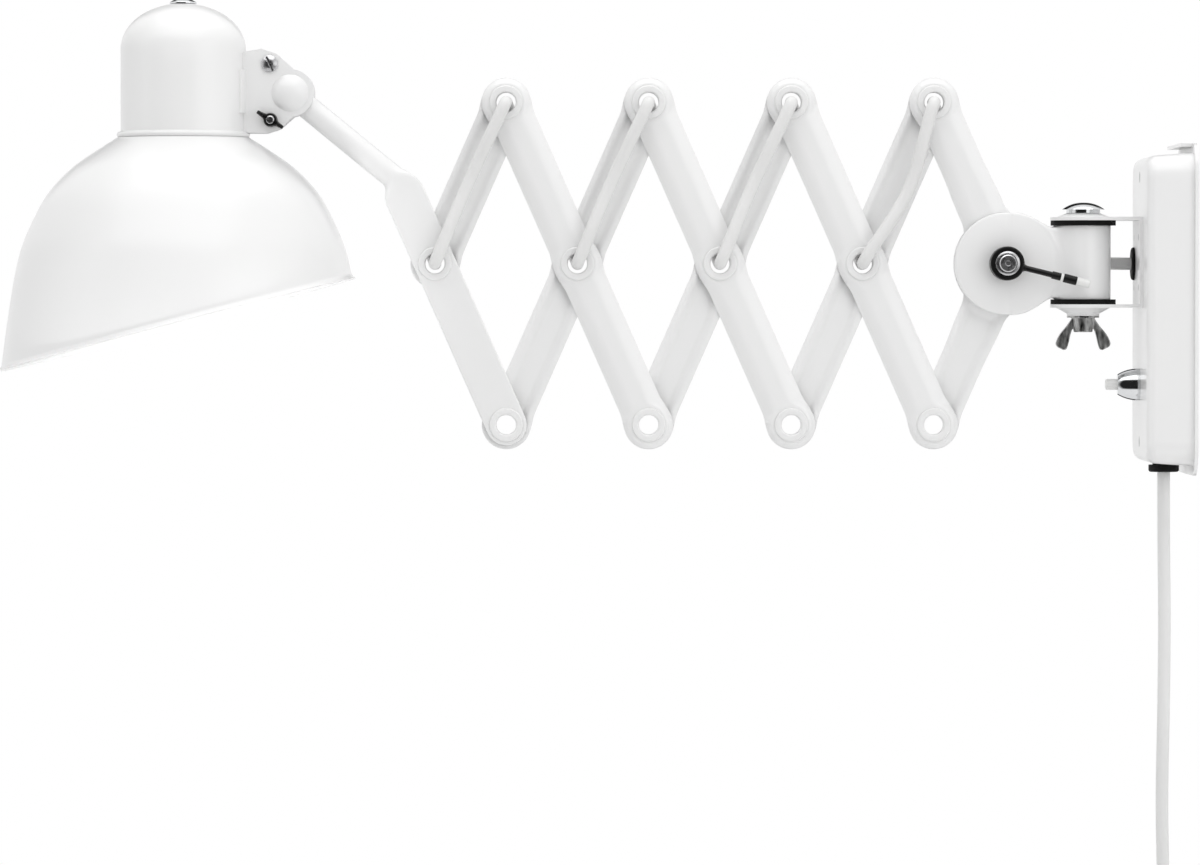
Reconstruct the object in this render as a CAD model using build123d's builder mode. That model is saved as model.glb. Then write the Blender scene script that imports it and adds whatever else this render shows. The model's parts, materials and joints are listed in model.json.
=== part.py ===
# Adjustable wall lamp: a box on the wall, a clamped swivel, a scissor arm of pressed bars on
# hollow rivets, and a dome shade held by a clamped ball.
# Millimetres. The origin lies on the wall behind the middle of the box. The arm reaches out
# along -X, +Z is up, and the side that the photograph shows faces -Y.

import os
from math import atan2, cos, degrees, pi, radians, sin, sqrt, tan

from build123d import *

os.makedirs("parts", exist_ok=True)

# Fits and gaps
run_fit = 0.05
seat_gap = 0.2
soft_gap = 0.3

# Wall plate
plate_height = 194.0
plate_width = 110.0
plate_thick = 2.0
plate_corner = 16.0
lip_reach = 7.5
lip_thick = 2.0
wall_hole_radius = 2.75
wall_hole_spread_y = 70.0
wall_hole_spread_z = 126.0
pillar_radius = 4.5
cover_screw_spread = 156.0

# Cover box
cover_height = 183.0
cover_width = 105.0
cover_depth = 27.5
cover_corner = 14.0
cover_round = 6.0
cover_wall = 1.2
cover_draft = 4.0

# Screws
screw_radius = 2.0
screw_head_radius = 3.8
screw_head_height = 2.2
sunk_head_radius = 3.3

# Swivel bracket and barrel
barrel_reach = 33.3
barrel_radius = 16.2
barrel_height = 43.6
barrel_mid = 27.7
washer_radius = 19.2
washer_thick = 2.9
ear_thick = 2.0
ear_radius = 19.5
bracket_back = 2.0
bracket_width = 44.0
bracket_screw_y = 15.0
bracket_screw_inset = 7.0
bolt_radius = 4.0
bolt_dome_radius = 12.8
bolt_dome_height = 4.2
bolt_disc_radius = 10.0
bolt_disc_height = 2.1
cup_wide = 16.0
cup_narrow = 9.75
upper_cup_height = 2.4
lower_cup_height = 3.4
cup_wall = 1.5
nut_washer_radius = 9.6
nut_washer_thick = 1.4

# Wing nut
wing_hub_wide = 8.0
wing_hub_narrow = 6.2
wing_hub_height = 8.8
wing_width = 6.6
wing_thick = 2.6
wing_length = 14.2
wing_lean = 28.5
wing_start = 6.2

# Push-button switch
switch_height = -44.3
bell_wide = 9.4
bell_narrow = 6.0
bell_length = 13.0
bell_bulge = 0.9
button_radius = 3.2
button_stand = 7.1
button_travel = 2.5
switch_neck_radius = 6.0
switch_body_radius = 11.0
switch_body_length = 15.0

# Cables
cable_radius = 3.7
mains_radius = 3.75
grommet_radius = 9.75
grommet_thick = 3.8
grommet_neck = 6.2
grommet_offset_y = 14.0
gland_radius = 9.0
gland_drop = 4.2
gland_neck = 6.6
gland_x = -15.0

# Terminal block
block_width = 34.0
block_height = 20.0
block_depth = 13.0
block_z = -8.0

# Hub of the arm
arm_height = 27.0
hub_reach = 46.2
cheek_radius = 30.0
cheek_thick = 5.7
cheek_rim = 2.5
cheek_flat = 12.0
slot_radius = 27.6
swing_radius = 33.5
swing_edge = 19.5
hub_disc_radius = 27.0
bush_wall = 4.0
web_half_thick = 9.0
web_top = 22.0
web_bottom = -20.2
hub_washer_radius = 9.0
hub_washer_thick = 1.2
hub_nut_flats = 13.0
hub_nut_height = 6.5
hub_head_radius = 5.8
hub_head_height = 3.4
hub_head_recess = 1.5
hub_recess_radius = 2.6
front_washer_radius = 7.2

# Clamp lever
lever_hub_radius = 10.2
lever_hub_length = 13.6
lever_plane = 22.1
lever_edge = 0.6
lever_drop = 14.3
lever_rod_radius = 1.6
lever_collar_radius = 2.2
lever_collar_from = 27.0
lever_collar_to = 32.4
lever_ring_to = 34.0
lever_sleeve_to = 42.0
lever_sleeve_radius = 2.45
lever_tip_to = 50.0

# Scissor bars
bar_half = 104.0
bar_angle = 66.15
bar_width = 25.4
bar_sheet = 1.5
bar_depth = 5.0
bar_crown = 20.4
bar_gap = 0.1
eye_radius = 14.7
eye_pad = 10.9
eye_draft = 12.0
waist_round = 12.0
crown_round = 5.0
scissor_cells = 4

# Hollow rivets
rivet_bore = 5.75
rivet_radius = 7.2
rivet_head = 10.0
rivet_head_thick = 1.3
rivet_roll = 1.0

# Arm cable
cable_lift = 10.6
cable_corner = 7.0
cable_dip = 5.0
cable_dip_share = 0.29
first_bow = 7.0
other_bow = -1.0
cable_join = 54.0

# Head arm
tube_radius = 7.1
tube_bore = 5.5
head_bar_thick = 3.0
head_bar_width = 24.4
head_bar_run = 52.9
tube_length = 82.1
tube_fall = 39.3
flatten_before = 6.0
flatten_after = 9.0
mouth_length = 36.0

# Ball and clamp
ball_radius = 12.5
ball_hollow = 8.8
ball_fit = 0.1
ball_slot = 8.6
plate_gap = 7.5
clamp_sheet = 1.6
clamp_round = 14.0
clamp_screw_radius = 2.5
clamp_head_radius = 5.0
clamp_head_height = 3.0
clamp_nut_flats = 8.0
clamp_nut_height = 4.0
saddle_half = 15.0
saddle_low = 115.5
saddle_high = 141.0
saddle_sheet = 1.5

# Cap over the lamp holder, and the shade
neck_offset = 63.5
cap_radius = 36.9
cap_wall = 1.2
cap_side_top = 153.5
cap_dome = 27.0
seam_height = 101.3
cap_bead = 39.2
cap_bead_height = 1.6
cap_button_radius = 8.0
cap_button_height = 2.4
shade_wall = 1.0
shade_lip = 2.0
shade_lip_thick = 1.6
shade_mouth = 32.0
shade_cut_left = -36.3
shade_cut_slope = 14.75
holder_radius = 19.5
holder_bottom = 117.0
holder_top = 168.0
holder_stem = 5.0
holder_cavity = 14.6
holder_cavity_depth = 30.0
bulb_cap_radius = 13.0
bulb_radius = 30.0
bulb_centre = 78.0
bulb_wall = 1.2
bulb_vent = 1.5

# Mains cord that hangs below the box, its coil and its plug
coil_centre_z = -389.0
coil_first_radius = 51.0
coil_pitch = 8.2
coil_layer = 8.3
coil_in = 5
coil_out = 6
tie_width = 7.0
tie_thick = 1.6
cord_tail = 27.0
relief_length = 28.0
relief_radius = 6.2
plug_radius = 18.5
plug_length = 30.0
pin_radius = 2.4
pin_length = 19.0
pin_spread = 19.0


# Places worked out from the dimensions above
cover_front = -(plate_thick + cover_depth)
bracket_front = cover_front - bracket_back
barrel_x = cover_front - barrel_reach
barrel_top = barrel_mid + barrel_height / 2
barrel_bottom = barrel_mid - barrel_height / 2
ear_low_face = barrel_top + washer_thick
ear_high_face = barrel_bottom - washer_thick
hub_x = barrel_x - hub_reach
fork_inner = bar_gap + bar_depth + seat_gap
fork_outer = fork_inner + cheek_thick
half_pitch = bar_half * cos(radians(bar_angle))
half_rise = bar_half * sin(radians(bar_angle))


def middle_pivot(cell):
    """Middle pivot of a scissor cell; cell 0 is the hub."""
    return (hub_x - 2 * half_pitch * cell, arm_height)


def upper_pivot(cell):
    """Upper pivot between cell - 1 and cell."""
    return (hub_x - half_pitch * (2 * cell - 1), arm_height + half_rise)


def lower_pivot(cell):
    """Lower pivot between cell - 1 and cell."""
    return (hub_x - half_pitch * (2 * cell - 1), arm_height - half_rise)


def wall_plane(x):
    """Plane at a given X that faces away from the wall, with +Z up."""
    return Plane(origin=(x, 0, 0), x_dir=(0, -1, 0), z_dir=(-1, 0, 0))


def axis_plane(x, z):
    """Plane through a point of the arm's middle plane, for profiles turned about +Y."""
    return Plane(origin=(x, 0, z), x_dir=(1, 0, 0), z_dir=(0, 0, 1))


def write(part, label):
    part.label = label
    export_step(part, f"parts/{label}.step")


def bend_radii(points, share=0.45):
    """Radius of each corner of a route, from its shorter run and the turn there."""
    vectors = [Vector(*p) for p in points]
    found = []
    for before, here, after in zip(vectors, vectors[1:], vectors[2:]):
        turn = radians((here - before).get_angle(after - here))
        shorter = min((here - before).length, (after - here).length)
        found.append(share * shorter / tan(turn / 2))
    return found


def tube(points, corner_radii, radius):
    """Round cable along straight runs joined by tangent arcs."""
    with BuildPart() as cable:
        with BuildLine() as route:
            FilletPolyline(*points, radius=corner_radii)
        path = route.wire()
        with BuildSketch(Plane(origin=path @ 0, z_dir=path % 0)):
            Circle(radius)
        sweep()
    length = path.length
    expected = pi * radius**2 * length
    print(f"  tube length {length:.1f}, volume ratio {cable.part.volume / expected:.4f}")
    return cable.part


# Wall plate with its folded top lip and the two pillars that take the cover screws
with BuildPart() as wall_plate:
    with BuildSketch(wall_plane(0)):
        RectangleRounded(plate_width, plate_height, plate_corner)
        with GridLocations(wall_hole_spread_y, wall_hole_spread_z, 2, 2):
            Circle(wall_hole_radius, mode=Mode.SUBTRACT)
    extrude(amount=plate_thick)
    with BuildSketch(wall_plane(-plate_thick)):
        with Locations((0, plate_height / 2 - lip_thick / 2)):
            Rectangle(plate_width - 2 * plate_corner, lip_thick)
    extrude(amount=lip_reach)
    pillar_length = cover_depth - cover_wall
    with BuildSketch(wall_plane(-plate_thick)):
        with GridLocations(0, cover_screw_spread, 1, 2):
            Circle(pillar_radius)
    extrude(amount=pillar_length)
    with BuildSketch(wall_plane(-plate_thick)):
        with GridLocations(0, cover_screw_spread, 1, 2):
            Circle(screw_radius + run_fit)
    extrude(amount=pillar_length, mode=Mode.SUBTRACT)
write(wall_plate.part, "wall_plate")

# Cover box: drawn shell with holes for the switch, the grommet, the gland and the screws


def drawn_box(width, height, depth, corner, front_round):
    """Box with drafted sides and rounded corners, drawn out from the plate."""
    with BuildPart() as box:
        with BuildSketch(wall_plane(-plate_thick)):
            RectangleRounded(width, height, corner)
        extrude(amount=depth, taper=cover_draft)
        fillet(box.faces().sort_by(Axis.X)[0].edges(), front_round)
    return box.part


sunk_taper = -degrees(atan2(sunk_head_radius - screw_radius, cover_wall))
cover_outside = drawn_box(cover_width, cover_height, cover_depth, cover_corner, cover_round)
cover_inside = drawn_box(
    cover_width - 2 * cover_wall,
    cover_height - 2 * cover_wall,
    cover_depth - cover_wall,
    cover_corner - cover_wall,
    cover_round - cover_wall,
)
with BuildPart() as base_cover:
    add(cover_outside)
    add(cover_inside, mode=Mode.SUBTRACT)
    with BuildSketch(wall_plane(cover_front + 2 * cover_wall)):
        with Locations((0, switch_height)):
            Circle(switch_neck_radius + run_fit)
        with Locations((-grommet_offset_y, arm_height)):
            Circle(grommet_neck + run_fit)
        with Locations((0, barrel_mid)):
            with GridLocations(2 * bracket_screw_y, barrel_height - 2 * bracket_screw_inset, 2, 2):
                Circle(screw_radius + run_fit)
    extrude(amount=3 * cover_wall, mode=Mode.SUBTRACT)
    for height in (-cover_screw_spread / 2, cover_screw_spread / 2):
        with BuildSketch(wall_plane(cover_front + cover_wall)):
            with Locations((0, height)):
                Circle(screw_radius + run_fit)
        extrude(amount=cover_wall, taper=sunk_taper, mode=Mode.SUBTRACT)
    with BuildSketch(Plane.XY.offset(-cover_height / 2 - cover_wall)):
        with Locations((gland_x, 0)):
            Circle(gland_neck + run_fit)
    extrude(amount=4 * cover_wall, mode=Mode.SUBTRACT)
write(base_cover.part, "base_cover")

# Screws: the cover's have sunk heads, and the bracket's come from inside the box
with BuildPart() as base_screws:
    cover_shank = 18.0
    with BuildSketch(wall_plane(cover_front + cover_shank)):
        with GridLocations(0, cover_screw_spread, 1, 2):
            Circle(screw_radius)
    extrude(amount=cover_shank)
    for height in (-cover_screw_spread / 2, cover_screw_spread / 2):
        with BuildSketch(wall_plane(cover_front + cover_wall)):
            with Locations((0, height)):
                Circle(screw_radius)
        extrude(amount=cover_wall, taper=sunk_taper)
    bracket_shank = cover_wall + bracket_back
    with BuildSketch(wall_plane(bracket_front + bracket_shank)):
        with Locations((0, barrel_mid)):
            with GridLocations(2 * bracket_screw_y, barrel_height - 2 * bracket_screw_inset, 2, 2):
                Circle(screw_radius)
    extrude(amount=bracket_shank)
    with BuildSketch(wall_plane(cover_front + cover_wall)):
        with Locations((0, barrel_mid)):
            with GridLocations(2 * bracket_screw_y, barrel_height - 2 * bracket_screw_inset, 2, 2):
                Circle(screw_head_radius)
    extrude(amount=-screw_head_height)
    screw_edge = screw_head_height / 3
    rims = base_screws.edges().filter_by(GeomType.CIRCLE)
    rims = rims.filter_by(lambda e: abs(e.center().X - cover_front - cover_wall - screw_head_height) < 0.01)
    fillet(rims.filter_by(lambda e: abs(e.radius - screw_head_radius) < 0.01), screw_edge)
write(base_screws.part, "base_screws")

# Bracket: one sheet with two ears, bored for the bolt, the cable and its own screws
with BuildPart() as swivel_bracket:
    bracket_low = ear_high_face - ear_thick
    bracket_high = ear_low_face + ear_thick
    with BuildSketch(wall_plane(cover_front)):
        with Locations((0, (bracket_low + bracket_high) / 2)):
            Rectangle(bracket_width, bracket_high - bracket_low)
    extrude(amount=bracket_back)
    for ear_base in (bracket_low, ear_low_face):
        with BuildSketch(Plane.XY.offset(ear_base)):
            with BuildLine():
                Polyline(
                    (bracket_front, bracket_width / 2),
                    (barrel_x, ear_radius),
                    (barrel_x, -ear_radius),
                    (bracket_front, -bracket_width / 2),
                    close=True,
                )
            make_face()
            with Locations((barrel_x, 0)):
                Circle(ear_radius)
                Circle(bolt_radius + run_fit, mode=Mode.SUBTRACT)
        extrude(amount=ear_thick)
    with BuildSketch(wall_plane(cover_front)):
        with Locations((-grommet_offset_y, arm_height)):
            Circle(grommet_radius + seat_gap)
        with Locations((0, barrel_mid)):
            with GridLocations(2 * bracket_screw_y, barrel_height - 2 * bracket_screw_inset, 2, 2):
                Circle(screw_radius + run_fit)
    extrude(amount=bracket_back, mode=Mode.SUBTRACT)
write(swivel_bracket.part, "swivel_bracket")

# Friction washers above and below the barrel
with BuildPart() as friction_washers:
    for washer_base in (barrel_top, barrel_bottom - washer_thick):
        with BuildSketch(Plane.XY.offset(washer_base)):
            with Locations((barrel_x, 0)):
                Circle(washer_radius)
                Circle(bolt_radius + run_fit, mode=Mode.SUBTRACT)
        extrude(amount=washer_thick)
write(friction_washers.part, "friction_washers")

# Cup washers on the ears, and the flat washer under the lower one
upper_cup_base = ear_low_face + ear_thick
lower_cup_base = ear_high_face - ear_thick
with BuildPart() as cup_washers:
    for base, height, way in (
        (upper_cup_base, upper_cup_height, 1),
        (lower_cup_base, lower_cup_height, -1),
    ):
        with BuildSketch(Plane(origin=(barrel_x, 0, base), x_dir=(1, 0, 0), z_dir=(0, -1, 0))):
            with BuildLine():
                Polyline(
                    (cup_wide - cup_wall, 0),
                    (cup_wide, 0),
                    (cup_narrow, way * height),
                    (bolt_radius + run_fit, way * height),
                    (bolt_radius + run_fit, way * (height - cup_wall)),
                    (cup_narrow - cup_wall / 2, way * (height - cup_wall)),
                    close=True,
                )
            make_face()
        revolve(axis=Axis((barrel_x, 0, 0), (0, 0, 1)))
    with BuildSketch(Plane.XY.offset(lower_cup_base - lower_cup_height - nut_washer_thick)):
        with Locations((barrel_x, 0)):
            Circle(nut_washer_radius)
            Circle(bolt_radius + run_fit, mode=Mode.SUBTRACT)
    extrude(amount=nut_washer_thick)
write(cup_washers.part, "cup_washers")

# Swivel bolt with its domed head
bolt_seat = upper_cup_base + upper_cup_height
wing_top = lower_cup_base - lower_cup_height - nut_washer_thick
with BuildPart() as swivel_bolt:
    bolt_length = bolt_seat - (wing_top - wing_hub_height + 1.5)
    with BuildSketch(Plane.XY.offset(bolt_seat - bolt_length)):
        with Locations((barrel_x, 0)):
            Circle(bolt_radius)
    extrude(amount=bolt_length)
    with BuildSketch(Plane.XY.offset(bolt_seat)):
        with Locations((barrel_x, 0)):
            Circle(bolt_disc_radius)
    extrude(amount=bolt_disc_height)
    dome_base = bolt_seat + bolt_disc_height
    with BuildSketch(Plane(origin=(barrel_x, 0, dome_base), x_dir=(1, 0, 0), z_dir=(0, -1, 0))):
        with BuildLine():
            dome = ThreePointArc(
                (0, bolt_dome_height),
                (bolt_dome_radius * 0.55, bolt_dome_height * 0.76),
                (bolt_dome_radius, 0),
            )
            Polyline(dome @ 1, (0, 0), dome @ 0)
        make_face()
    revolve(axis=Axis((barrel_x, 0, 0), (0, 0, 1)))
write(swivel_bolt.part, "swivel_bolt")

# Wing nut under the bracket
with BuildPart() as wing_nut:
    with BuildSketch(Plane(origin=(barrel_x, 0, wing_top), x_dir=(1, 0, 0), z_dir=(0, -1, 0))):
        with BuildLine():
            Polyline(
                (bolt_radius + run_fit, 0),
                (wing_hub_wide, 0),
                (wing_hub_narrow, -wing_hub_height),
                (bolt_radius + run_fit, -wing_hub_height),
                close=True,
            )
        make_face()
    revolve(axis=Axis((barrel_x, 0, 0), (0, 0, 1)))
    for side in (-1, 1):
        lean = radians(wing_lean)
        wing_x = side * (wing_start + wing_length / 2 * sin(lean))
        wing_z = -wing_hub_height * 0.46 - wing_length / 2 * cos(lean)
        wing_plane = Plane(
            origin=(barrel_x + wing_x, wing_thick / 2, wing_top + wing_z),
            x_dir=(side * sin(lean), 0, -cos(lean)),
            z_dir=(0, -1, 0),
        )
        with BuildSketch(wing_plane):
            SlotCenterToCenter(wing_length, wing_width)
        extrude(amount=wing_thick)
    with BuildSketch(Plane.XY.offset(wing_top - wing_hub_height)):
        with Locations((barrel_x, 0)):
            Circle(bolt_radius + run_fit)
    extrude(amount=wing_hub_height, mode=Mode.SUBTRACT)
write(wing_nut.part, "wing_nut")

# Switch: bell in front of the cover, body behind it, plunger through both
with BuildPart() as switch_bushing:
    with BuildSketch(Plane(origin=(cover_front, 0, switch_height), x_dir=(-1, 0, 0), z_dir=(0, -1, 0))):
        with BuildLine():
            bell_middle = (bell_length * 0.55, (bell_wide + bell_narrow) / 2 + bell_bulge)
            bell_side = ThreePointArc((0, bell_wide), bell_middle, (bell_length, bell_narrow))
            Polyline(
                bell_side @ 1,
                (bell_length, button_radius + run_fit),
                (0, button_radius + run_fit),
                bell_side @ 0,
            )
        make_face()
    revolve(axis=Axis((0, 0, switch_height), (1, 0, 0)))
write(switch_bushing.part, "switch_bushing")

with BuildPart() as switch_body:
    neck_length = cover_wall + seat_gap
    with BuildSketch(wall_plane(cover_front + neck_length)):
        with Locations((0, switch_height)):
            Circle(switch_neck_radius)
    extrude(amount=neck_length)
    with BuildSketch(wall_plane(cover_front + neck_length + switch_body_length)):
        with Locations((0, switch_height)):
            Circle(switch_body_radius)
    extrude(amount=switch_body_length)
    with BuildSketch(wall_plane(cover_front + neck_length + button_travel + 6)):
        with Locations((0, switch_height)):
            Circle(button_radius + run_fit)
    extrude(amount=neck_length + button_travel + 6, mode=Mode.SUBTRACT)
write(switch_body.part, "switch_body")

with BuildPart() as switch_button:
    button_back = cover_front + neck_length + 2
    button_length = button_back - (cover_front - bell_length - button_stand)
    with BuildSketch(wall_plane(button_back)):
        with Locations((0, switch_height)):
            Circle(button_radius)
    extrude(amount=button_length)
    fillet(switch_button.faces().sort_by(Axis.X)[0].edges(), button_radius * 0.35)
write(switch_button.part, "switch_button")

# Grommet of the arm cable, seated on the cover
with BuildPart() as arm_cable_grommet:
    grommet_inner = cover_front + cover_wall + 2
    with BuildSketch(wall_plane(grommet_inner)):
        with Locations((-grommet_offset_y, arm_height)):
            Circle(grommet_neck)
    extrude(amount=grommet_inner - cover_front)
    with BuildSketch(wall_plane(cover_front)):
        with Locations((-grommet_offset_y, arm_height)):
            Circle(grommet_radius)
    extrude(amount=grommet_thick)
    fillet(arm_cable_grommet.faces().sort_by(Axis.X)[0].edges(), grommet_thick * 0.4)
    with BuildSketch(wall_plane(grommet_inner)):
        with Locations((-grommet_offset_y, arm_height)):
            Circle(cable_radius + run_fit)
    extrude(amount=grommet_inner - cover_front + grommet_thick, mode=Mode.SUBTRACT)
write(arm_cable_grommet.part, "arm_cable_grommet")

# Gland of the mains cord under the box
gland_top = -cover_height / 2 - seat_gap
with BuildPart() as cord_gland:
    with BuildSketch(Plane.XY.offset(gland_top - gland_drop)):
        with Locations((gland_x, 0)):
            Circle(gland_radius)
    extrude(amount=gland_drop)
    fillet(cord_gland.faces().sort_by(Axis.Z)[0].edges(), gland_drop * 0.3)
    gland_neck_length = 8.0
    with BuildSketch(Plane.XY.offset(gland_top)):
        with Locations((gland_x, 0)):
            Circle(gland_neck)
    extrude(amount=gland_neck_length)
    with BuildSketch(Plane.XY.offset(gland_top - gland_drop)):
        with Locations((gland_x, 0)):
            Circle(mains_radius + run_fit)
    extrude(amount=gland_drop + gland_neck_length, mode=Mode.SUBTRACT)
write(cord_gland.part, "cord_gland")

# Terminal block on the plate
with BuildPart() as terminal_block:
    with BuildSketch(wall_plane(-plate_thick)):
        with Locations((0, block_z)):
            Rectangle(block_width, block_height)
    extrude(amount=block_depth)
    with BuildSketch(wall_plane(-plate_thick - block_depth)):
        with Locations((0, block_z)):
            with GridLocations(block_width / 3, block_height / 2, 3, 2):
                Circle(screw_radius)
    extrude(amount=-block_depth / 3, mode=Mode.SUBTRACT)
write(terminal_block.part, "terminal_block")

# Hub casting: barrel, web and two cheeks with the slot for the arm between them
with BuildPart() as hub_casting:
    with BuildSketch(Plane.XY.offset(barrel_bottom)):
        with Locations((barrel_x, 0)):
            Circle(barrel_radius)
    extrude(amount=barrel_height)
    with BuildSketch(Plane.XZ.offset(-web_half_thick)):
        with BuildLine():
            Polyline(
                (hub_x, arm_height + cheek_radius - 0.4),
                (hub_x + 8, arm_height + cheek_radius - 1.2),
                (hub_x + 22, arm_height + web_top),
                (barrel_x, arm_height + web_top),
                (barrel_x, arm_height + web_bottom),
                (hub_x + 25, arm_height + web_bottom),
                (hub_x + 17, arm_height - cheek_radius + 5),
                (hub_x + 4, arm_height - cheek_radius + 0.4),
                (hub_x, arm_height),
                close=True,
            )
        make_face()
    extrude(amount=2 * web_half_thick)
    for side in (-1, 1):
        with BuildSketch(axis_plane(hub_x, arm_height)):
            with BuildLine():
                cheek_arc = ThreePointArc(
                    (cheek_radius, side * (fork_outer - cheek_rim)),
                    (cheek_radius * 0.72, side * (fork_outer - cheek_rim * 0.3)),
                    (cheek_flat, side * fork_outer),
                )
                Polyline(
                    cheek_arc @ 1,
                    (0, side * fork_outer),
                    (0, side * fork_inner),
                    (cheek_radius, side * fork_inner),
                    cheek_arc @ 0,
                )
            make_face()
        revolve(axis=Axis((hub_x, 0, arm_height), (0, 1, 0)))
    with BuildSketch(Plane.XZ.offset(-fork_inner)):
        with Locations((hub_x, arm_height)):
            Circle(swing_radius)
        with Locations((hub_x + swing_edge - swing_radius, arm_height)):
            Rectangle(2 * swing_radius, 2 * swing_radius, mode=Mode.INTERSECT)
        with Locations((hub_x, arm_height)):
            Circle(slot_radius)
    extrude(amount=2 * fork_inner, mode=Mode.SUBTRACT)
    with BuildSketch(Plane.XZ.offset(-fork_outer)):
        with Locations((hub_x, arm_height)):
            Circle(bolt_radius + run_fit)
    extrude(amount=2 * fork_outer, mode=Mode.SUBTRACT)
    with BuildSketch(Plane.XY.offset(barrel_bottom)):
        with Locations((barrel_x, 0)):
            Circle(bolt_radius + run_fit)
    extrude(amount=barrel_height, mode=Mode.SUBTRACT)
write(hub_casting.part, "hub_casting")

# Bush that both hub discs of the arm turn on
bush_radius = bolt_radius + run_fit + bush_wall
with BuildPart() as hub_bush:
    bush_half = fork_inner - seat_gap / 2
    with BuildSketch(Plane.XZ.offset(-bush_half)):
        with Locations((hub_x, arm_height)):
            Circle(bush_radius)
            Circle(bolt_radius + run_fit, mode=Mode.SUBTRACT)
    extrude(amount=2 * bush_half)
write(hub_bush.part, "hub_bush")

# Hub bolt, from the screw head in front of the lever to the nut behind
lever_hub_front = fork_outer + seat_gap + lever_hub_length
head_seat = lever_hub_front + seat_gap / 2 + hub_washer_thick
nut_seat = fork_outer + hub_washer_thick
with BuildPart() as hub_bolt:
    shank = head_seat + nut_seat + hub_nut_height
    with BuildSketch(Plane.XZ.offset(-nut_seat - hub_nut_height)):
        with Locations((hub_x, arm_height)):
            Circle(bolt_radius)
    extrude(amount=shank)
    with BuildSketch(Plane.XZ.offset(head_seat)):
        with Locations((hub_x, arm_height)):
            Circle(hub_head_radius)
    extrude(amount=hub_head_height)
    fillet(hub_bolt.faces().sort_by(Axis.Y)[0].edges(), 0.8)
    with BuildSketch(Plane.XZ.offset(head_seat + hub_head_height)):
        with Locations((hub_x, arm_height)):
            RegularPolygon(hub_recess_radius, 6)
    extrude(amount=-hub_head_recess, mode=Mode.SUBTRACT)
write(hub_bolt.part, "hub_bolt")

# Nut and washer behind the hub, and the washer under the screw head
with BuildPart() as hub_nut_washers:
    with BuildSketch(Plane.XZ.offset(-nut_seat)):
        with Locations((hub_x, arm_height)):
            Circle(hub_washer_radius)
            Circle(bolt_radius + run_fit, mode=Mode.SUBTRACT)
    extrude(amount=hub_washer_thick)
    with BuildSketch(Plane.XZ.offset(-nut_seat - hub_nut_height)):
        with Locations((hub_x, arm_height)):
            RegularPolygon(hub_nut_flats / 2, 6, major_radius=False)
            Circle(bolt_radius + run_fit, mode=Mode.SUBTRACT)
    extrude(amount=hub_nut_height)
    with BuildSketch(Plane.XZ.offset(head_seat - hub_washer_thick)):
        with Locations((hub_x, arm_height)):
            Circle(front_washer_radius)
            Circle(bolt_radius + run_fit, mode=Mode.SUBTRACT)
    extrude(amount=hub_washer_thick)
write(hub_nut_washers.part, "hub_nut_washers")

# Clamp lever, its ring and its pale end cap
lever_way = Vector(cos(radians(lever_drop)), 0, -sin(radians(lever_drop)))
hub_point = Vector(hub_x, -lever_plane, arm_height)


def lever_plane_at(distance):
    return Plane(origin=hub_point + lever_way * distance, x_dir=(0, 1, 0), z_dir=lever_way)


with BuildPart() as clamp_lever:
    with BuildSketch(Plane.XZ.offset(fork_outer + seat_gap)):
        with Locations((hub_x, arm_height)):
            Circle(lever_hub_radius)
    extrude(amount=lever_hub_length)
    fillet(clamp_lever.faces().sort_by(Axis.Y)[0].edges(), lever_edge)
    for begin, finish, radius in (
        (lever_hub_radius - lever_rod_radius, lever_collar_from, lever_rod_radius),
        (lever_collar_from, lever_collar_to, lever_collar_radius),
        (lever_collar_to, lever_ring_to, lever_rod_radius),
        (lever_ring_to, lever_sleeve_to, lever_sleeve_radius),
    ):
        with BuildSketch(lever_plane_at(begin)):
            Circle(radius)
        extrude(amount=finish - begin)
    with BuildSketch(Plane.XZ.offset(fork_outer + seat_gap)):
        with Locations((hub_x, arm_height)):
            Circle(bolt_radius + run_fit)
    extrude(amount=lever_hub_length, mode=Mode.SUBTRACT)
write(clamp_lever.part, "clamp_lever")

with BuildPart() as lever_tip:
    with BuildSketch(lever_plane_at(lever_collar_to)):
        Circle(lever_collar_radius)
        Circle(lever_rod_radius + run_fit, mode=Mode.SUBTRACT)
    extrude(amount=lever_ring_to - lever_collar_to)
    with BuildSketch(lever_plane_at(lever_sleeve_to)):
        Circle(lever_sleeve_radius - 0.05)
    extrude(amount=lever_tip_to - lever_sleeve_to)
    fillet(lever_tip.faces().sort_by(Axis.X)[-1].edges(), 0.7)
write(lever_tip.part, "lever_tip")


def bar_plane(start, end, side):
    """Back plane of a bar, its x along the bar; side -1 lies in front, +1 behind."""
    return Plane(
        origin=(start[0], side * bar_gap, start[1]),
        x_dir=(end[0] - start[0], 0, end[1] - start[1]),
        z_dir=(0, side, 0),
    )


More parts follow.
